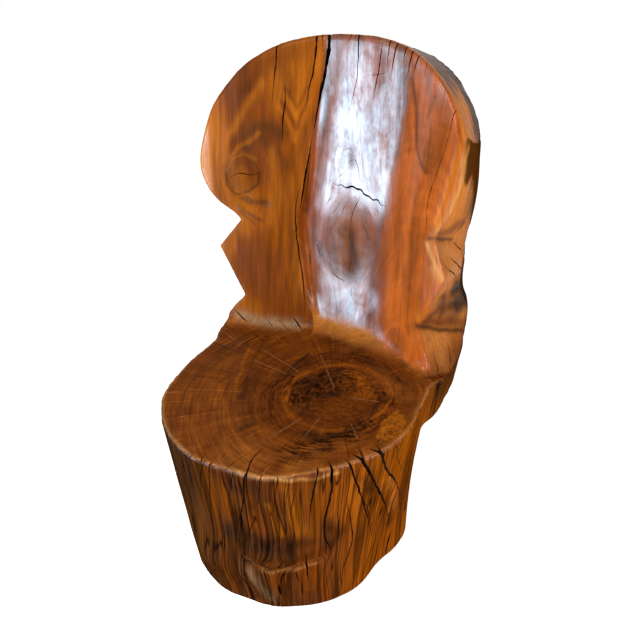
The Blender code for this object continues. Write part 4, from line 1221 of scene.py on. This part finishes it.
def knot_places():
    """Name, centre, inward direction and half sizes of each knot."""
    places = []
    inwards = unit((0.0, 1.0, -FACE_RAKE))
    for name, across, up, half_width, half_height in FACE_KNOTS:
        x = across * HALF_BACK
        z = SEAT_HEIGHT + up * BACK_HEIGHT
        places.append((name, np.array([x, float(face_y(x, z)), z]), inwards, half_width, half_height))
    angle = math.radians(BURL_KNOT_ANGLE)
    inwards = np.array([-math.cos(angle), -math.sin(angle), 0.0])
    centre = log_points(np.array([BURL_KNOT_ANGLE]), np.array([BURL_KNOT_SHARE * SEAT_HEIGHT]))[0]
    places.append(("knot_drum", centre, inwards, BURL_KNOT_HALF_WIDTH, BURL_KNOT_HALF_HEIGHT))
    return places


def read_normals(mesh):
    """The mesh's vertex normals as an array."""
    normals = np.empty(len(mesh.vertices) * 3)
    mesh.vertices.foreach_get("normal", normals)
    return normals.reshape(-1, 3)


def log_axis(height):
    """Middle of the log at each height."""
    climb = np.minimum(height / SEAT_HEIGHT, 1.0)
    above = np.maximum(height - SEAT_HEIGHT, 0.0)
    return np.stack([BASE_SHIFT_X * (1.0 - climb), BASE_SHIFT_Y * (1.0 - climb) + UPPER_LEAN * above], -1)


def under_bark(points):
    """Angle about the log's middle, and depth under the log's outer surface, of each point."""
    height = points[:, 2]
    axis = log_axis(height)
    out = points[:, :2] - axis
    degrees = np.degrees(np.arctan2(out[:, 1], out[:, 0]))
    natural = log_points(degrees, height)
    depth = np.linalg.norm(natural[:, :2] - axis, axis=1) - np.linalg.norm(out, axis=1)
    return degrees, depth


def find_zones(points, normals):
    """Shares between 0 and 1 of each kind of wood at each point, and of the seat's rounded rim, which takes
    a painted highlight and fuller varnish.
    """
    x, y, height = points.T
    degrees, depth = under_bark(points)
    seat = rises(normals[:, 2], *LEVEL_SHARE) * falls(np.abs(height - SEAT_HEIGHT), *SEAT_ZONE)
    face = falls(np.abs(y - face_y(x, height)), *FACE_ZONE) * rises(height, SEAT_HEIGHT, FACE_START)
    face *= rises(-normals[:, 1], *FRONT_SHARE)
    outer = falls(depth, *BARK_ZONE) * (1.0 - seat) * (1.0 - face)
    away = np.hypot(depth, height - SEAT_HEIGHT)
    return {
        "seat": seat,
        "face": face,
        "outer": outer,
        "sawn": (1 - seat) * (1 - face) * (1 - outer),
        "rim": np.exp(-(away / RIM_ROUND) ** 2) * (1.0 - opening(degrees)),
    }


def knot_radius(points, knot):
    """Distance from a knot's middle in its own half sizes, large away from its surface."""
    _, centre, inwards, half_width, half_height = knot
    side = unit((-inwards[1], inwards[0], 0.0))
    up = np.cross(side, inwards)
    offset = points - centre
    radius = np.hypot(offset @ side / half_width, offset @ up / half_height)
    return np.where(np.abs(offset @ inwards) > KNOT_REACH, radius + FAR, radius)


def sculpt(piece):
    """Raise the ripples, knots and folds that wear and sanding leave on the wood."""
    points = read_points(piece.data)
    normals = read_normals(piece.data)
    zones = find_zones(points, normals)
    fibres = points * (RIPPLE_ACROSS, RIPPLE_ACROSS, RIPPLE_ALONG)
    ripple = value_noise(fibres, 1) + 0.5 * value_noise(RIPPLE_FINER * fibres, 2)
    drum = zones["outer"] * (points[:, 2] < SEAT_HEIGHT)
    depth = (FACE_RIPPLE * zones["face"] + DRUM_RIPPLE * drum + BARK_RIPPLE * (zones["outer"] - drum)
             + SAWN_RIPPLE * zones["sawn"])
    raised = depth * ripple + FACE_WAVE * zones["face"] * value_noise(points * WAVE_SCALE, 3)
    for knot in knot_places():
        raised += KNOT_DOME * falls(knot_radius(points, knot), 1.0, 0.6)
    for rise, width, pixels in BURLS:
        raised += rise * value_noise(points * BURL_WAVES, 4) * stroke(points, pixels, width)
    for rise, width, pixels in FOLDS:
        raised += rise * stroke(points, pixels, width)
    raised *= rises(points[:, 2], 0.0, FLAT_FOOT)
    moved = points + normals * raised[:, None]
    piece.data.vertices.foreach_set("co", moved.ravel())
    piece.data.update()


def mix(tone, colour, share):
    """Colours blended towards one colour by shares."""
    return tone + (np.array(colour) - tone) * np.clip(share, 0.0, 1.0)[:, None]


def stroke(points, pixels, width):
    """Strength between 0 and 1, at each point, of a soft stroke through the photograph's pixels."""
    stations = np.array([seen(pixel)[0] for pixel in pixels])
    reach = 3.0 * width
    boxed = (points > stations.min(0) - reach) & (points < stations.max(0) + reach)
    near = np.flatnonzero(boxed.all(1))
    close = points[near]
    nearest = np.full(len(near), np.inf)
    for start, end in zip(stations[:-1], stations[1:]):
        along = end - start
        share = np.clip((close - start) @ along / max(along @ along, 1e-12), 0.0, 1.0)
        nearest = np.minimum(nearest, np.linalg.norm(close - start - share[:, None] * along, axis=1))
    strength = np.zeros(len(points))
    strength[near] = np.exp(-(nearest / width) ** 2)
    return strength


def pith_place(height):
    """Middle of the growth rings at each height."""
    climb = np.minimum(height / SEAT_HEIGHT, 1.0)
    above = np.maximum(height - SEAT_HEIGHT, 0.0)
    x = PITH_X + BASE_SHIFT_X * (1 - climb)
    y = PITH_Y + BASE_SHIFT_Y * (1 - climb) + RING_LEAN * above
    return np.stack([x, y], -1)


def clouds(points, across, along, seed):
    """Smooth noise at each point, with waves per metre across and along the grain."""
    return value_noise(points * (across, across, along), seed)


def layered(points, colour, *layers):
    """One colour at each point, with layers of (colour, share at each point) over it."""
    tone = np.tile(np.array(colour), (len(points), 1))
    for over, share in layers:
        tone = mix(tone, over, share)
    return tone


def paint_face(points):
    """Colours of the back's face."""
    x, _, height = points.T
    cloud = clouds(points, 14.0, 7.0, 12) + 0.4 * clouds(points, 90.0, 8.0, 13)
    streak = clouds(points, 60.0, 3.0, 18)
    centre = rises(x, step_x(height), STEP_WIDTH)
    wing = rises(x / crease_x(height), *WING)
    facet = rises(x, crease_x(height), FACET)
    return layered(
        points, GOLD,
        (AMBER, 0.25 + 0.80 * cloud),
        (CHESTNUT, 0.22 - 1.00 * cloud),
        (HONEY, 0.8 * rises(-x / HALF_BACK, *EDGE_GOLD)),
        (ROSE, centre * (0.85 + 0.3 * cloud)),
        (CHAR, centre * (1.0 - wing) * (0.05 + 0.6 * streak)),
        (ORANGE, wing * (0.9 + 0.2 * cloud)),
        (CHESTNUT, wing * (0.05 + 0.5 * streak)),
        (HONEY, facet * rises(height, *FACET_GOLD) * (0.50 + 0.3 * cloud)),
    )


def paint_sawn(points):
    """Colours of the sawn facets: golden near the face, tan in the notches, bark brown towards the bark, and
    painted shade at the head's top right and low down under the teeth.
    """
    x, y, height = points.T
    behind = y - face_y(x, height)
    cloud = clouds(points, 30.0, 30.0, 14)
    notched = falls(height, *NOTCHED)
    shaded = rises(height, *SHADED_HEIGHT) * rises(x, *SHADED_RIGHT) * rises(behind, *SHADED_BEHIND)
    return layered(
        points, HONEY,
        (TAN, notched * (0.8 + 0.2 * cloud)),
        (UMBER, shaded * 0.9),
        (BARK, rises(behind, *BARKED) * (1.0 - notched)),
        # Painted shade low down, under the teeth
        (CHESTNUT, falls(height, *FOOT) * 0.8),
    )


def paint_drum(points):
    """Colours of the log's outer surface: golden drum in front, bark brown above and behind."""
    x, y, height = points.T
    cloud = clouds(points, 9.0, 6.0, 15) + 0.6 * clouds(points, 70.0, 3.0, 16)
    left = rises(-x, *DRUM_LEFT)
    return layered(
        points, CHESTNUT,
        (DRUM_GOLD, 0.55 + 0.8 * cloud),
        (UMBER, -0.15 - 1.0 * cloud),
        (UMBER, 0.90 * left),
        (CHAR, (0.30 + 0.4 * cloud) * left),
        (AMBER, (0.5 + 0.3 * cloud) * rises(x, *DRUM_RIGHT)),
        (BARK, rises(height, LOBE_BOTTOM, LOBE_BARK) * rises(y, *REAR) * 0.85),
    )


def dark_sector(around):
    """How near each angle about the pith is to the seat's dark side."""
    return smooth(0.5 + 0.7 * np.cos(np.radians(around - SEAT_DARK_ANGLE)))


def paint_seat(points, rim, ring, around):
    """Colours of the seat's end grain, with a painted highlight along its rounded rim."""
    cloud = clouds(points, 40.0, 40.0, 17)
    sector = 0.30 + 0.70 * dark_sector(around)
    return layered(
        points, CHESTNUT,
        (AMBER, read_curve(SEAT_AMBER, ring) * (0.6 + 0.6 * cloud)),
        (TAN, 0.22 * rises(ring, *SEAT_TAN) * (1.0 + cloud) * (1.1 - sector)),
        (CHAR, read_curve(SEAT_DARK, ring) * sector * (0.6 + 0.5 * cloud)),
        # Painted highlight along the seat's rounded rim
        (PAINTED_HIGHLIGHT, 0.7 * rim),
    )


def paint(points, zones, ring, around):
    """The wood's colour at each point, painted highlights and painted shade included."""
    tone = paint_face(points) * zones["face"][:, None]
    tone += paint_sawn(points) * zones["sawn"][:, None]
    tone += paint_drum(points) * zones["outer"][:, None]
    tone += paint_seat(points, zones["rim"], ring, around) * zones["seat"][:, None]
    drift = STROKE_DRIFT * np.stack([value_noise(points * STROKE_WAVES, seed) for seed in (31, 32, 33)], -1)
    for colour, strength, width, pixels in STROKES:
        strayed = points + drift * min(width / STROKE_WIDE, 1.0)
        tone = mix(tone, colour, strength * stroke(strayed, pixels, width))
    return tone


def find_gloss(points, zones):
    """How thick the varnish lies: full in the back's hollow and on worn edges, thin elsewhere."""
    x, y, height = points.T
    hollow = rises(x - step_x(height), 0.5 * STEP_WIDTH, STEP_WIDTH)
    hollow *= falls(x / crease_x(height), *HOLLOW_END)
    low, high, fade = DULL_HEIGHTS
    hollow *= 1.0 - DULL_SHARE * falls(height, high, fade) * rises(height, low, fade)
    edge = rises(-x / HALF_BACK, *EDGE_LEFT) + rises(x / crease_x(height), *EDGE_RIGHT)
    face = blend(GLOSS_FACE, GLOSS_HOLLOW, hollow) + (GLOSS_EDGE - GLOSS_FACE) * edge
    for change, width, pixels in GLOSS_STROKES:
        face = blend(face, change, stroke(points, pixels, width))
    behind = y - face_y(x, height)
    worn = falls(np.abs(behind - WORN_DEPTH), *WORN_REACH) * rises(height, *WORN_HEIGHT)
    worn *= (x > WORN_RIGHT) * zones["sawn"]
    gloss = zones["face"] * face + GLOSS_SEAT * zones["seat"]
    gloss += GLOSS_SAWN * zones["sawn"] + GLOSS_BARK * zones["outer"]
    return np.maximum(gloss, GLOSS_EDGE * np.maximum(zones["rim"], worn))


def lay_fibres(points, outer):
    """Places in straightened wood, whose fibres run along Z.

    The log's outside is unrolled, and the face is stood upright.
    """
    height = points[:, 2]
    out = points[:, :2] - log_axis(height)
    out /= np.maximum(np.linalg.norm(out, axis=1), 1e-5)[:, None]
    sway = GRAIN_SWAY * value_noise(np.column_stack([out * SWAY_TURNS, height * SWAY_WAVES]), 22)
    round_it = np.column_stack([-out[:, 1], out[:, 0]])
    rolled = np.column_stack([SEAT_RADIUS * out + round_it * sway[:, None], height])
    upright = points.copy()
    upright[:, 0] += sway
    upright[:, 1] -= FACE_RAKE * np.maximum(height - SEAT_HEIGHT, 0.0)
    return blend(upright, rolled, outer[:, None])


def bend_round_knots(points, fibre, ring):
    """Fibres pushed aside by the knots, and growth rings that close round them."""
    for knot in knot_places():
        radius = knot_radius(points, knot)
        _, centre, inwards, half_width, _ = knot
        side = unit((-inwards[1], inwards[0], 0.0))
        pushed = ((points - centre) @ side) * np.exp(-np.maximum(radius - 1.0, 0.0) ** 2 / KNOT_PUSH_FADE)
        pushed /= np.maximum(radius, 1.0) ** 2
        fibre = fibre - side * (KNOT_PUSH * pushed)[:, None]
        knot_ring = KNOT_FIGURE * radius * half_width / KNOT_SPAN
        ring = blend(ring, knot_ring, falls(radius, *KNOT_RINGS_END))
    return fibre, ring


def find_blackened(points, seat, ring, around):
    """How much of the wood black streaks cover."""
    blackened = seat * np.maximum(0.25, read_curve(SEAT_DARK, ring) * (0.4 + 0.6 * dark_sector(around)))
    for strength, width, pixels in BLACKENED_STROKES:
        blackened = np.maximum(blackened, strength * stroke(points, pixels, width))
    return blackened


def dress(piece, darkness=0.0):
    """Store the grain's coordinates and the wood's colour, painted highlights and shade included, on a
    piece's points.
    """
    mesh = piece.data
    points = read_points(mesh)
    zones = find_zones(points, read_normals(mesh))
    height = points[:, 2]
    away = points[:, :2] - pith_place(height)
    ring = np.linalg.norm(away, axis=1)
    heading = away / np.maximum(ring, 1e-5)[:, None]
    around = np.degrees(np.arctan2(away[:, 1], away[:, 0]))
    swirl_round, swirl_up = RING_SWIRL
    warp = value_noise(np.column_stack([heading * swirl_round, height * swirl_up]), 21)
    ring = ring * (1.0 + RING_WARP * warp)
    tone = paint(points, zones, ring, around)
    tone = mix(tone, UMBER, np.full(len(points), darkness))
    fibre, ring = bend_round_knots(points, lay_fibres(points, zones["outer"]), ring)
    drum = zones["outer"] * falls(height, *DRUM_TOP)
    store(mesh, "tone", 'FLOAT_COLOR', np.column_stack([tone, np.ones(len(tone))]))
    store(mesh, "fibre", 'FLOAT_VECTOR', fibre)
    store(mesh, "ray", 'FLOAT_VECTOR', np.column_stack([heading, ring * RAY_DEPTH]))
    ring_places = np.column_stack([ring, RING_RISE * height, RING_TURN * heading[:, 0]])
    store(mesh, "rings", 'FLOAT_VECTOR', ring_places)
    store(mesh, "ends", 'FLOAT', zones["seat"])
    store(mesh, "blackened", 'FLOAT', find_blackened(points, zones["seat"], ring, around))
    store(mesh, "gloss", 'FLOAT', find_gloss(points, zones))
    store(mesh, "streaky", 'FLOAT', blend(STREAKY_SANDED, STREAKY_DRUM, drum))
    store(mesh, "lined", 'FLOAT', blend(LINED_SANDED, LINED_DRUM, drum))


def store(mesh, name, kind, values):
    """Keep one value, vector or colour for each point of a mesh."""
    attribute = mesh.attributes.new(name, kind, 'POINT')
    field = {'FLOAT': "value", 'FLOAT_VECTOR': "vector", 'FLOAT_COLOR': "color"}[kind]
    attribute.data.foreach_set(field, np.asarray(values, np.float32).ravel())


class Nodes:
    """Short ways to add and link the nodes of one material."""

    def __init__(self, name):
        self.material = bpy.data.materials.new(name)
        self.material.use_nodes = True
        self.tree = self.material.node_tree
        self.shader = self.tree.nodes["Principled BSDF"]

    def link(self, source, socket):
        """Feed a socket from a node output or set it to a number or colour."""
        if isinstance(source, bpy.types.NodeSocket):
            self.tree.links.new(source, socket)
        else:
            socket.default_value = source

    def attribute(self, name, output):
        """A value kept on the mesh."""
        node = self.tree.nodes.new("ShaderNodeAttribute")
        node.attribute_name = name
        return node.outputs[output]

    def times(self, vector, scale):
        """A vector multiplied by three numbers."""
        node = self.tree.nodes.new("ShaderNodeVectorMath")
        node.operation = 'MULTIPLY'
        self.link(vector, node.inputs[0])
        self.link(scale, node.inputs[1])
        return node.outputs[0]

    def noise(self, vector, detail, roughness=0.5):
        """Noise between 0 and 1 at a place."""
        node = self.tree.nodes.new("ShaderNodeTexNoise")
        node.inputs["Scale"].default_value = 1.0
        node.inputs["Detail"].default_value = detail
        node.inputs["Roughness"].default_value = roughness
        self.link(vector, node.inputs["Vector"])
        return node.outputs["Fac"]

    def span(self, value, low, high, to_low, to_high):
        """A value read from one range into another and held there."""
        node = self.tree.nodes.new("ShaderNodeMapRange")
        node.inputs["From Min"].default_value = low
        node.inputs["From Max"].default_value = high
        node.inputs["To Min"].default_value = to_low
        node.inputs["To Max"].default_value = to_high
        self.link(value, node.inputs["Value"])
        return node.outputs["Result"]

    def math(self, operation, *values):
        """The outcome of an operation on one or two values."""
        node = self.tree.nodes.new("ShaderNodeMath")
        node.operation = operation
        for value, socket in zip(values, node.inputs):
            self.link(value, socket)
        return node.outputs[0]

    def product(self, *values):
        """Values multiplied together."""
        total = values[0]
        for value in values[1:]:
            total = self.math('MULTIPLY', total, value)
        return total

    def lines(self, vector, detail, roughness):
        """Distance of noise from its middle value, which is 0 along wandering lines."""
        offset = self.math('SUBTRACT', self.noise(vector, detail, roughness), 0.5)
        return self.math('ABSOLUTE', offset)

    def mixed(self, share, first, second):
        """A value between two values."""
        node = self.tree.nodes.new("ShaderNodeMix")
        self.link(share, node.inputs["Factor"])
        self.link(first, node.inputs["A"])
        self.link(second, node.inputs["B"])
        return node.outputs["Result"]

    def scaled(self, colour, factor):
        """A colour made lighter or darker by a factor."""
        node = self.tree.nodes.new("ShaderNodeVectorMath")
        node.operation = 'SCALE'
        self.link(colour, node.inputs[0])
        self.link(factor, node.inputs["Scale"])
        return node.outputs[0]

    def bump(self, height, strength, distance):
        """Fine relief on the shader."""
        node = self.tree.nodes.new("ShaderNodeBump")
        node.inputs["Strength"].default_value = strength
        node.inputs["Distance"].default_value = distance
        self.link(height, node.inputs["Height"])
        self.link(node.outputs["Normal"], self.shader.inputs["Normal"])
        self.link(node.outputs["Normal"], self.shader.inputs["Coat Normal"])


def end_grain(n, rings):
    """Brightness of sawn end grain: rings, rays, pale scratches and short cracks."""
    ray = n.attribute("ray", "Vector")
    rays = n.noise(n.times(ray, RAY_WAVES), 2.0, 0.6)
    scratches = n.noise(n.times(ray, SCRATCH_WAVES), 1.0, 0.5)
    cracks = n.lines(n.times(ray, CRACK_WAVES), 1.0, 0.5)
    return n.product(n.span(rings, *END_RINGS), n.span(rays, *RAY_SHADE),
                     n.span(scratches, *SCRATCH_SHADE), n.span(cracks, *CRACK_SHADE))


def splits(n, fibre):
    """Brightness left by the fine splits that run along the fibres."""
    short = n.lines(n.times(fibre, SPLIT_WAVES), 1.0, 0.4)
    long = n.lines(n.times(fibre, LONG_SPLIT_WAVES), 1.0, 0.4)
    dark = n.product(n.span(short, *SPLIT_SHADE), n.span(long, *LONG_SPLIT_SHADE))
    return n.mixed(n.attribute("lined", "Fac"), 1.0, dark)


def black_streaks(n, fibre, ends):
    """Brightness left by the black streaks, which are bands round the pith on end grain."""
    bands = n.noise(n.times(n.attribute("ray", "Vector"), BAND_WAVES), 4.0, 0.7)
    smears = n.noise(n.times(fibre, SMEAR_WAVES), 4.0, 0.7)
    streaked_black = n.mixed(ends, n.span(smears, *SMEAR_SHADE), n.span(bands, *BAND_SHADE))
    return n.mixed(n.attribute("blackened", "Fac"), 1.0, streaked_black)


def varnish(n, fibre):
    """Weight of the varnish, which thins in the pores and where the wood is seen at a slant."""
    pores = n.noise(n.times(fibre, PORE_WAVES), 3.0, 0.6)
    uneven = n.noise(n.times(fibre, UNEVEN_WAVES), 6.0, 0.72)
    facing = n.tree.nodes.new("ShaderNodeLayerWeight").outputs["Facing"]
    return n.product(n.attribute("gloss", "Fac"), n.span(pores, *PORE_SHADE),
                     n.span(uneven, *UNEVEN_SHADE), n.span(facing, *SLANT_GLOSS))


def wood_material(name, specular, coat_roughness, rough_low, rough_high, relief_strength):
    """Varnished wood whose colour and grain follow the values kept on the mesh."""
    n = Nodes(name)
    fibre = n.attribute("fibre", "Vector")
    ends = n.attribute("ends", "Fac")
    broad = n.noise(n.times(fibre, BROAD_WAVES), 4.0, 0.6)
    fine = n.noise(n.times(fibre, FINE_WAVES), 3.0, 0.6)
    hair = n.noise(n.times(fibre, HAIR_WAVES), 2.0, 0.5)
    rings = n.noise(n.times(n.attribute("rings", "Vector"), (RING_LINES,) * 3), 2.0, 0.5)
    streak = n.mixed(n.attribute("streaky", "Fac"), 1.0, n.span(fine, *FINE_SHADE))
    split = splits(n, fibre)
    long_grain = n.product(n.span(broad, *BROAD_SHADE), n.span(hair, *HAIR_SHADE),
                           streak, n.span(rings, *LENGTHWAYS_RINGS), split)
    figure = n.product(n.mixed(ends, long_grain, end_grain(n, rings)), black_streaks(n, fibre, ends))
    relief = n.math('ADD', n.product(fine, 0.7), n.product(hair, 0.3))
    n.link(n.scaled(n.attribute("tone", "Color"), figure), n.shader.inputs["Base Color"])
    n.link(n.span(broad, 0.3, 0.7, rough_low, rough_high), n.shader.inputs["Roughness"])
    n.link(varnish(n, fibre), n.shader.inputs["Coat Weight"])
    n.bump(n.math('ADD', relief, n.product(split, 0.8)), relief_strength, WOOD_RELIEF)
    n.shader.inputs["Specular IOR Level"].default_value = specular
    n.shader.inputs["Coat IOR"].default_value = COAT_IOR
    n.shader.inputs["Coat Roughness"].default_value = coat_roughness
    return n.material


def plain_material(name, colour, low, high, scale, veined, roughness, specular):
    """A mottled filling, or the near-black walls of checks and sockets, which in the checks are painted
    shade.
    """
    n = Nodes(name)
    place = n.tree.nodes.new("ShaderNodeTexCoord").outputs["Object"]
    mottle = n.noise(n.times(place, (scale, scale, scale)), 4.0, 0.6)
    vein = n.lines(n.times(place, VEIN_WAVES), 4.0, 0.7)
    shade = n.product(n.span(mottle, 0.3, 0.7, low, high), n.span(vein, *VEIN_WIDTH, veined, 1.0))
    n.link(n.scaled(colour, shade), n.shader.inputs["Base Color"])
    n.bump(mottle, 0.25, FILLING_RELIEF)
    n.shader.inputs["Roughness"].default_value = roughness
    n.shader.inputs["Specular IOR Level"].default_value = specular
    return n.material


def give_woods(piece, slot):
    """Give a piece the list of woods, all its faces in one of them."""
    piece.data.materials.clear()
    for material in woods:
        piece.data.materials.append(material)
    piece.data.polygons.foreach_set("material_index", np.full(len(piece.data.polygons), slot, np.int32))
    return piece


def sort_faces(piece):
    """Put each face of a carved piece in the wood of its zone, and leave its cracks near black, as painted
    shade.
    """
    mesh = piece.data
    count = len(mesh.polygons)
    slots = np.empty(count, np.int32)
    mesh.polygons.foreach_get("material_index", slots)
    centres = np.empty(count * 3)
    mesh.polygons.foreach_get("center", centres)
    normals = np.empty(count * 3)
    mesh.polygons.foreach_get("normal", normals)
    zones = find_zones(centres.reshape(-1, 3), normals.reshape(-1, 3))
    wanted = np.where(zones["seat"] > 0.5, SEAT_SLOT, np.where(zones["outer"] > 0.5, DRUM_SLOT, FACE_SLOT))
    slots = np.where(slots == CRACK_SLOT, CRACK_SLOT, wanted).astype(np.int32)
    mesh.polygons.foreach_set("material_index", slots)


def settle(piece, name, slot, *nodes):
    """Name a finished piece, shade it, and let it stand for its CAD nodes."""
    piece.name = name
    piece.data.name = name
    piece.data.shade_smooth()
    piece.data.set_sharp_from_angle(angle=math.radians(SHARP_ANGLE))
    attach(piece, "root")
    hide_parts(*nodes)


def cut_socket(socket):
    """Cut a socket into the trunk, with charred walls."""
    boolean(trunk, give_woods(socket, CRACK_SLOT), 'DIFFERENCE')
    remove(socket)


def fit_knots():
    """Cut the sockets of the encased knots and fit a knot in each."""
    knots = []
    for name, *sizes in knot_places():
        cut_socket(oval_prism("socket", *sizes, 0.0))
        knot = give_woods(oval_prism(name + "_wood", *sizes, FIT_GAP), CRACK_SLOT)
        boolean(knot, blank, 'INTERSECT')
        for cutter in cutters[:3]:
            boolean(knot, cutter, 'DIFFERENCE')
        knots.append((knot, name))
    return knots


def fit_fillings():
    """Cut the slots of the seat's filled checks and its bark pocket, and fill them."""
    pale = plain_material(*PALE_LOOK)
    orange = plain_material(*POCKET_LOOK)
    fillings = []
    for name, *reach in FILLERS:
        cut_socket(strip_prism("slot", *reach, 0.0))
        fillings.append((strip_prism(name + "_filling", *reach, FIT_GAP), pale, "pale_filler", name))
    cut_socket(patch_prism("pocket", 0.0))
    fillings.append((patch_prism("seat_patch_filling", FIT_GAP), orange, "orange_pocket", "seat_patch"))
    for filling, material, _, _ in fillings:
        boolean(filling, blank, 'INTERSECT')
        filling.data.materials.clear()
        filling.data.materials.append(material)
    return fillings


def make_lamp(name, place, aim, width, height, power, colour):
    """A soft lamp that points at a place."""
    data = bpy.data.lights.new(name, 'AREA')
    data.shape = 'RECTANGLE'
    data.size = width
    data.size_y = height
    data.energy = power
    data.color = colour
    lamp = bpy.data.objects.new(name, data)
    bpy.context.scene.collection.objects.link(lamp)
    lamp.location = place
    lamp.rotation_euler = (Vector(aim) - Vector(place)).to_track_quat('-Z', 'Y').to_euler()


def seen_directly(tree):
    """A node output that is 1 for camera, glossy and transmission rays."""
    path = tree.nodes.new("ShaderNodeLightPath")
    total = path.outputs["Is Camera Ray"]
    for kind in ("Is Glossy Ray", "Is Transmission Ray"):
        either = tree.nodes.new("ShaderNodeMath")
        either.operation = 'MAXIMUM'
        tree.links.new(total, either.inputs[0])
        tree.links.new(path.outputs[kind], either.inputs[1])
        total = either.outputs[0]
    return total


def make_world():
    """Even light all round that looks white where it is seen."""
    world = bpy.data.worlds.new("studio")
    bpy.context.scene.world = world
    world.use_nodes = True
    tree = world.node_tree
    tree.nodes.clear()
    output = tree.nodes.new("ShaderNodeOutputWorld")
    either = tree.nodes.new("ShaderNodeMixShader")
    lit = tree.nodes.new("ShaderNodeBackground")
    lit.inputs["Color"].default_value = WHITE
    lit.inputs["Strength"].default_value = WORLD_STRENGTH
    white = tree.nodes.new("ShaderNodeBackground")
    white.inputs["Color"].default_value = WHITE
    white.inputs["Strength"].default_value = 1.0
    tree.links.new(seen_directly(tree), either.inputs[0])
    tree.links.new(lit.outputs[0], either.inputs[1])
    tree.links.new(white.outputs[0], either.inputs[2])
    tree.links.new(either.outputs[0], output.inputs["Surface"])


def make_floor():
    """A wide pale floor that looks nearly white and keeps the chair's shadow."""
    points = [(sx * FLOOR_REACH, sy * FLOOR_REACH, 0.0) for sx, sy in ((-1, -1), (1, -1), (1, 1), (-1, 1))]
    floor = raw_object("floor", points, [(0, 1, 2, 3)])
    material = bpy.data.materials.new("pale_floor")
    material.use_nodes = True
    tree = material.node_tree
    shader = tree.nodes["Principled BSDF"]
    shader.inputs["Base Color"].default_value = (*FLOOR_COLOUR, 1.0)
    shader.inputs["Roughness"].default_value = FLOOR_ROUGHNESS
    shader.inputs["Specular IOR Level"].default_value = FLOOR_SPECULAR
    shader.inputs["Emission Color"].default_value = WHITE
    glow = tree.nodes.new("ShaderNodeMath")
    glow.operation = 'MULTIPLY'
    tree.links.new(seen_directly(tree), glow.inputs[0])
    glow.inputs[1].default_value = FLOOR_LIFT
    tree.links.new(glow.outputs[0], shader.inputs["Emission Strength"])
    floor.data.materials.append(material)


# Build
camera_turn = make_camera()
trunk = carve()
surface = BVHTree.FromObject(trunk, bpy.context.evaluated_depsgraph_get())
sculpt(trunk)
surface = BVHTree.FromObject(trunk, bpy.context.evaluated_depsgraph_get())

woods = [wood_material(*look) for look in WOOD_LOOKS] + [plain_material(*CRACK_LOOK)]
blank = trunk.copy()
blank.data = trunk.data.copy()
bpy.context.scene.collection.objects.link(blank)
give_woods(blank, FACE_SLOT)
give_woods(trunk, FACE_SLOT)
cutters = [
    check_cutter("cut_face", FACE_CHECKS, 1),
    check_cutter("cut_cross", CROSS_CHECKS, 101),
    check_cutter("cut_drum", DRUM_CHECKS, 201),
    check_cutter("cut_seat", SEAT_CHECKS, 301),
    hidden_cutter(),
]
for cutter in cutters:
    boolean(trunk, give_woods(cutter, CRACK_SLOT), 'DIFFERENCE')
knots = fit_knots()
fillings = fit_fillings()

sort_faces(trunk)
dress(trunk)
settle(trunk, "trunk_wood", "varnished_trunk", "trunk")
for knot, name in knots:
    sort_faces(knot)
    dress(knot, KNOT_DARKNESS)
    settle(knot, name + "_wood", "dark_knot", name)
for filling, _, slot, name in fillings:
    settle(filling, name + "_filling", slot, name)
remove(blank, *cutters)

for lamp in LAMPS:
    make_lamp(*lamp)
make_world()
make_floor()
bpy.context.scene.view_settings.view_transform = 'Standard'
